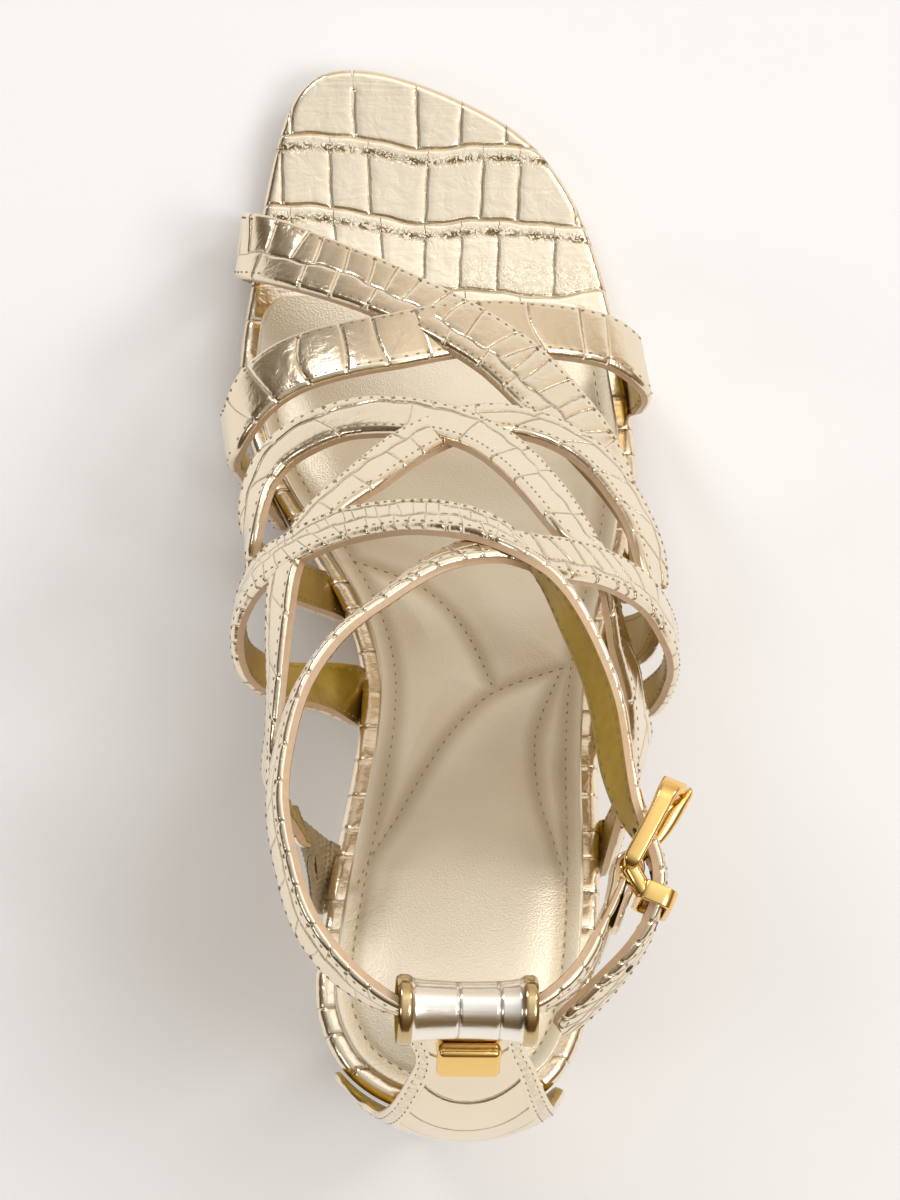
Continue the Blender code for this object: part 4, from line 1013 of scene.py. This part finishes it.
def heel_shape(u, v):
    """u runs down the heel, v round it from the breast's outer corner; the last fifth is the breast."""
    ring = np.minimum(v / BREAST_FROM, 1) * HEEL_STEPS
    wall = ramp(v, BREAST_FROM, 1)[:, None]
    plans = []
    for plan in (seat, foot):
        breast = plan[-1] * (1 - wall) + plan[0] * wall
        plans.append(np.where(v[:, None] < BREAST_FROM, read_between(plan, ring), breast))
    cap = np.clip(np.minimum(u, 1 - u) / CAP, 0, 1)
    down = ramp(u, CAP, 1 - CAP)
    wide = ((1 - down) ** 2.6)[:, None]
    plan = plans[0] * wide + plans[1] * (1 - wide)
    centre = np.where(down[:, None] < 0.5, seat.mean(0), foot.mean(0))
    plan = centre + (plan - centre) * cap[:, None]
    under = footbed_height(plan[:, 1]) - BOARD_THICKNESS - 0.05
    height = under * (1 - down) + (HEEL_TIP_HEIGHT + 0.05) * down
    waver = 1.2 * np.sin(v * 21) + 0.8 * np.sin(v * 47 + 2)
    crossing = alternate(height + waver, np.arange(9, 90, 8.5))
    lengthwise = alternate(v + 0.008 * np.sin(height * 0.5), np.arange(0.04, 0.8, 0.085)) * 70
    lengthwise = np.where(v > 0.79, FAR, lengthwise)
    return np.column_stack([plan, height]), height, v * 80, crossing, lengthwise


heel = skin("wrapped_heel", 190, 170, heel_shape, [gold_leather])
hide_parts("heel_block")

rubber = grained("tip_rubber", (0.045, 0.035, 0.028), None, 900.0, 0.6, strength=0.3)
top_piece = bmesh.new()
base = top_piece.faces.new([top_piece.verts.new((*p, 0)) for p in foot])
raised = bmesh.ops.extrude_face_region(top_piece, geom=[base])["geom"]
raised = [vert for vert in raised if isinstance(vert, bmesh.types.BMVert)]
bmesh.ops.translate(top_piece, vec=(0, 0, HEEL_TIP_HEIGHT), verts=raised)
rims = [e for e in top_piece.edges if abs(e.verts[0].co.z - e.verts[1].co.z) < 1e-6]
bmesh.ops.bevel(top_piece, geom=rims, offset=0.5, segments=3, affect="EDGES", profile=0.5, material=-1)
metal_piece("heel_top_piece", top_piece, rubber, "heel_tip")

# ---------------------------------------------------------------- sock lining
# A thinly padded sock in pearly champagne leather, quilted in three sweeps and stitched round its edge. It is
# glued on the board behind the toe.

SOCK_INSET, SOCK_FRONT, SOCK_TOP = 3.3, 178.6, 1.5
SOCK_SEAM, SOCK_STITCH = 3.0, 2.15  # in from the sock's edge; from stitch to stitch
SOCK_QUILTING = (
    ((-15.7, 118.1), (-1.9, 111.7), (5.8, 101.2), (10.7, 86.3)),
    ((24.7, 92.5), (9.5, 85.6), (-1.6, 71.2), (-8.8, 58.0), (-14.4, 48.7), (-16.7, 43.5)),
    ((23.4, 91.1), (17.6, 75.6), (17.9, 60.7), (19.4, 54.8), (22.0, 43.3)),
)


def sock_inset(along):
    near_front = np.clip((along - SOCK_FRONT + 7) / 7, 0, 1)
    return SOCK_INSET + 5 * (1 - np.sqrt(1 - near_front**2))


# Along both edges, then the quilting.
sock_seams = []
for points, outward in sole_sides(PLAN_STEPS):
    line = (points - unit(outward) * (SOCK_INSET + SOCK_SEAM))[6:640]
    sock_seams.append(line[(line[:, 1] < SOCK_FRONT - 3) & (line[:, 1] > 4.5)])
sock_seams += [even_points(line, 300) for line in SOCK_QUILTING]


def sock_relief(plan):
    """Height over the flat sock, and the distance to the nearest seam."""
    nearest = np.full(len(plan), 50.0)
    for line in sock_seams:
        for chunk in np.array_split(np.arange(len(plan)), 40):
            apart = plan[chunk][:, None] - line[None, ::3]
            nearest[chunk] = np.minimum(nearest[chunk], np.hypot(apart[..., 0], apart[..., 1]).min(1))
    puff = 1.6 * (1 - np.exp(-((nearest / 5) ** 2))) - 0.2 * np.exp(-((nearest / 0.7) ** 2))
    return puff - 0.1, np.where(nearest > 40, FAR, nearest)


look = Look(bpy.data.materials.new("pearl_sock_leather"))
clouded = look.blend(look.noise(60.0, 4.0), (0.80, 0.71, 0.55), (0.91, 0.84, 0.70))
# painted shade: the sock's colour darkens towards each seam, standing in for the shade in the quilting's valleys
sunk = look.ease(look.marks()[0], 0.1, 3.2, 0.55, 0.0, smooth=True)  # darker towards the seams
pebble = look.add("TexVoronoi", Vector=look.add("TexCoord")["Object"], Scale=2600.0)["Distance"]
pearl = look.shade(look.blend(sunk, clouded, (0.42, 0.32, 0.17)), 0.40, 0.7, look.bump(pebble, 0.4, 0.00012))
padding = layer_shape(1.0, SOCK_FRONT, sock_inset, SOCK_TOP + 0.35, 0.02, 0.7, sock_relief)
sock = skin("padded_sock", 300, 170, padding, [pearl])
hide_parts("sock_lining")
sock_thread = bmesh.new()
for line in sock_seams:
    length = run_along(line)
    for spot in np.arange(1, length[-1] - 1, SOCK_STITCH):
        pair = read_between(line, (spot, spot + 0.4), length)
        ends = np.column_stack([pair, footbed_height(pair[:, 1]) + SOCK_TOP + 0.1])
        ahead = unit(ends[1] - ends[0])
        up = unit(np.cross(ahead, [ahead[1], -ahead[0], 0]))
        add_stitch(sock_thread, ends[0], ahead, up * (1 if up[2] > 0 else -1), 1.1, 0.16)
finish_stitches("sock_stitches", sock_thread)

# ---------------------------------------------------------------- buckle
# A cast and gilded buckle: a frame with a flat top bar, a lug to its box keeper, and a prong whose eye turns on
# the bar inside the folded end of the ankle strap.

BUCKLE_DEPTHS, BUCKLE_BULGE = (4.6, 2.0, 3.1), 0.75
KEEPER_CENTRE = (31.9, 30.4, 148.6)
KEEPER_LENGTH, KEEPER_HEIGHT, KEEPER_WIDTH, KEEPER_WALL = 6.5, 14.0, 3.5, 1.0
FOLD_BORE, EYE_HALF, EYE_WALL = 1.65, 0.95, 0.8


def round_corners(steps):
    """A walk round a rectangle with round corners: each corner's signs, and its turn in steps."""
    for side, rise in ((1, 1), (-1, 1), (-1, -1), (1, -1)):
        for k in range(steps + 1):
            quarter = pi / 2 * k / steps
            yield side, rise, quarter if side == rise else pi / 2 - quarter


def ring_of_bar(centre, across, up, half_across, half_up, bar, depths, corners, set_back=0.0, bulge=0.0):
    """A rectangular loop of bar, in millimetres: sections swept round it, with softened corners.

    depths are for the far end, the near end and the bars between; the far end stands out by the bulge.
    """
    centre, across, up = (np.array(v, float) for v in (centre, across, up))
    through = np.cross(across, up)
    shape = bmesh.new()
    rings = []
    for side, rise, turn in round_corners(8):
        radius, near = corners[side < 0], side < 0
        hub = across * side * (half_across - radius) + up * rise * (half_up - radius)
        hub = hub - through * set_back * near
        out = across * side * cos(turn) + up * rise * sin(turn)
        upright = cos(turn) ** 2
        at = centre + hub + out * radius + through * bulge * upright * (not near)
        depth = depths[2] * (1 - upright) + depths[near] * upright
        soft = min(bar, depth) * 0.3
        flat, deep = bar / 2 - soft, depth / 2 - soft
        rings.append([
            shape.verts.new(at + out * a * (flat + soft * cos(spin)) + through * b * (deep + soft * sin(spin)))
            for a, b, spin in round_corners(3)
        ])
    for ring, after in zip(rings, [*rings[1:], rings[0]]):
        for k, vert in enumerate(ring):
            shape.faces.new((ring[k - 1], vert, after[k], after[k - 1]))
    return shape


def rod_between(start, end, radius):
    """A round bar with rounded ends between two places, in millimetres."""
    shape = bmesh.new()
    start, end = Vector(start), Vector(end)
    turn = Vector((0, 0, 1)).rotation_difference(end - start).to_matrix().to_4x4()
    made = bmesh.ops.create_cone(
        shape, cap_ends=True, segments=20, radius1=radius, radius2=radius, depth=(end - start).length,
        matrix=Matrix.Translation((start + end) / 2) @ turn,
    )["verts"]
    edges = {edge for vert in made for edge in vert.link_edges}
    ends = [edge for edge in edges if any(len(face.verts) > 4 for face in edge.link_faces)]
    soft = radius * 0.35
    bmesh.ops.bevel(shape, geom=ends, offset=soft, segments=3, affect="EDGES", profile=0.5, material=-1)
    return shape


buckle_frame = ring_of_bar(
    BUCKLE_CENTRE, buckle_ahead, (0, 0, 1), bar_reach, (BUCKLE_HEIGHT - BUCKLE_BAR) / 2,
    BUCKLE_BAR, BUCKLE_DEPTHS, (4.0, 1.6), BUCKLE_SET_BACK, BUCKLE_BULGE,
)
metal_piece("buckle_frame", buckle_frame, gold_metal, "buckle")
keeper = ring_of_bar(
    KEEPER_CENTRE, buckle_out, (0, 0, 1), (KEEPER_LENGTH - KEEPER_WALL) / 2,
    (KEEPER_HEIGHT - KEEPER_WALL) / 2, KEEPER_WALL, (KEEPER_WIDTH,) * 3, (1.7, 1.2),
)
metal_piece("box_keeper", keeper, gold_metal, "buckle")
lug_top = BUCKLE_CENTRE[2] + (BUCKLE_HEIGHT - BUCKLE_BAR) / 2
lug_from, lug_to = (*near_bar[:2], lug_top - 1.9), (KEEPER_CENTRE[0] - 2.0, KEEPER_CENTRE[1], lug_top - 2.2)
lug = rod_between(lug_from, lug_to, 1.6)
metal_piece("keeper_lug", lug, gold_metal, "buckle")
PRONG = (
    # along the buckle from its bar, outwards, half thickness, half height
    (1.9, 0.1, 0.7, 0.8), (4.5, 0.8, 0.9, 0.8), (7.5, 1.6, 1.3, 0.9), (10.5, 2.1, 1.6, 1.1),
    (13.0, 2.5, 1.6, 1.25), (14.8, 3.15, 1.15, 1.2), (16.2, 3.75, 0.7, 1.0), (17.2, 3.75, 0.6, 0.8),
    (17.8, 3.7, 0.2, 0.4),
)
prong = bmesh.new()
rings = []
for ahead, out, thick, tall in even_points(PRONG, 30):
    middle = near_bar + buckle_ahead * ahead + buckle_out * (out + BUCKLE_SET_BACK)
    ring = bmesh.ops.create_circle(prong, segments=20, radius=1)["verts"]
    for vert in ring:
        vert.co = middle + buckle_out * vert.co.x * thick + np.array([0, 0, vert.co.y * tall])
    rings.append(list({edge for vert in ring for edge in vert.link_edges}))
for first, second in zip(rings, rings[1:]):
    bmesh.ops.bridge_loops(prong, edges=first + second)
bmesh.ops.holes_fill(prong, edges=rings[0] + rings[-1], sides=0)
metal_piece("prong_pin", prong, gold_metal, "buckle_prong")
eye = bmesh.new()
corners = ((0, -EYE_HALF), (EYE_WALL, -EYE_HALF), (EYE_WALL, EYE_HALF), (0, EYE_HALF))
section = []
for out, up in corners:
    section.append(eye.verts.new(near_bar + buckle_ahead * (FOLD_BORE + out) + np.array([0, 0, up])))
edges = [eye.edges.new((vert, section[k - 1])) for k, vert in enumerate(section)]
bmesh.ops.spin(eye, geom=section + edges, cent=near_bar, axis=(0, 0, 1), angle=2 * pi, steps=32, use_merge=True)
metal_piece("prong_eye", eye, gold_metal, "buckle_prong")

# ---------------------------------------------------------------- camera, floor and lights
# A plain pale sweep lit by large soft boxes, in a room that is brighter beyond the toe. The camera is nearly
# overhead, with the toe at the top.

TARGET = Vector(np.array((2.0, 103.5, 60.0)) * MM + ORIGIN)
BACK_TILT, SIDE_TILT, DISTANCE = 13.0, 3.5, 1.1
towards = Vector((-tan(radians(SIDE_TILT)), -tan(radians(BACK_TILT)), 1)).normalized()
upward = (Vector((0, 1, 0)) - towards * towards.y).normalized()
rightward = upward.cross(towards)
lens = bpy.data.cameras.new("camera")
lens.lens, lens.sensor_width, lens.clip_start = 173.85, 36, 0.05
camera = put_in_scene("camera", lens)
turned = Matrix((rightward, upward, towards)).transposed().to_4x4()
camera.matrix_world = Matrix.Translation(TARGET + towards * DISTANCE) @ turned
bpy.context.scene.camera = camera

sweep = bmesh.new()
bmesh.ops.create_grid(sweep, x_segments=1, y_segments=1, size=4)
floor = put_in_scene("floor", mesh_from("floor", sweep))
floor.data.materials.append(Look(bpy.data.materials.new("pale_floor")).shade((0.98, 0.99, 1.0), 0.9))

LIGHTS = (
    # name, place, size, power
    ("overhead_box", (0.9, -0.5, 1.7), 0.8, 9),
    ("toe_box", (-0.9, 1.3, 1.2), 0.5, 5),
    ("side_box", (-1.3, -0.5, 1.2), 0.4, 2),
    ("back_box", (1.3, 0.9, 1.1), 0.4, 4),
)
for name, place, size, power in LIGHTS:
    lamp = bpy.data.lights.new(name, "AREA")
    lamp.size, lamp.energy = size, power
    light = put_in_scene(name, lamp)
    light.location = place
    light.rotation_euler = (Vector((0, 0, 0.05)) - light.location).to_track_quat("-Z", "Y").to_euler()
SKY = (
    # share of the way from straight down to straight up, colour
    (0.50, (0.50, 0.39, 0.28)), (0.57, (0.17, 0.11, 0.055)), (0.68, (0.23, 0.16, 0.095)),
    (0.80, (0.55, 0.47, 0.38)), (0.91, (0.95, 0.945, 0.94)), (1.0, (0.74, 0.74, 0.74)),
)
studio = Look(bpy.data.worlds.new("studio"))
x, y, z = studio.add("SeparateXYZ", Vector=studio.add("TexCoord")["Generated"])
sky = studio.add("ValToRGB", Fac=studio.ease(z, -1.0))["Color"]
stops = sky.node.color_ramp.elements
while len(stops) < len(SKY):
    stops.new(0.5)
for stop, (at, colour) in zip(stops, SKY):
    stop.position, stop.color = at, (*colour, 1)
# a warm card behind the heel, and a pale one beyond the toe
warmed = studio.blend(studio.ease(y, -0.25, -0.7, end=0.6), sky, (0.42, 0.27, 0.11))
lit = studio.blend(studio.ease(y, 0.45, 0.9, end=0.6), warmed, (0.62, 0.58, 0.53))
# brighter towards the toe and the outer side
strength = studio.calc("MULTIPLY", studio.ease(y, -0.8, 0.6, 0.52, 1.80), studio.ease(x, -0.55, 0.1, 0.32, 1.0))
background = studio.tree.nodes["Background"].inputs
studio.fill(background["Color"], lit)
studio.fill(background["Strength"], strength)
bpy.context.scene.world = studio.owner
bpy.context.scene.view_settings.view_transform = "Standard"
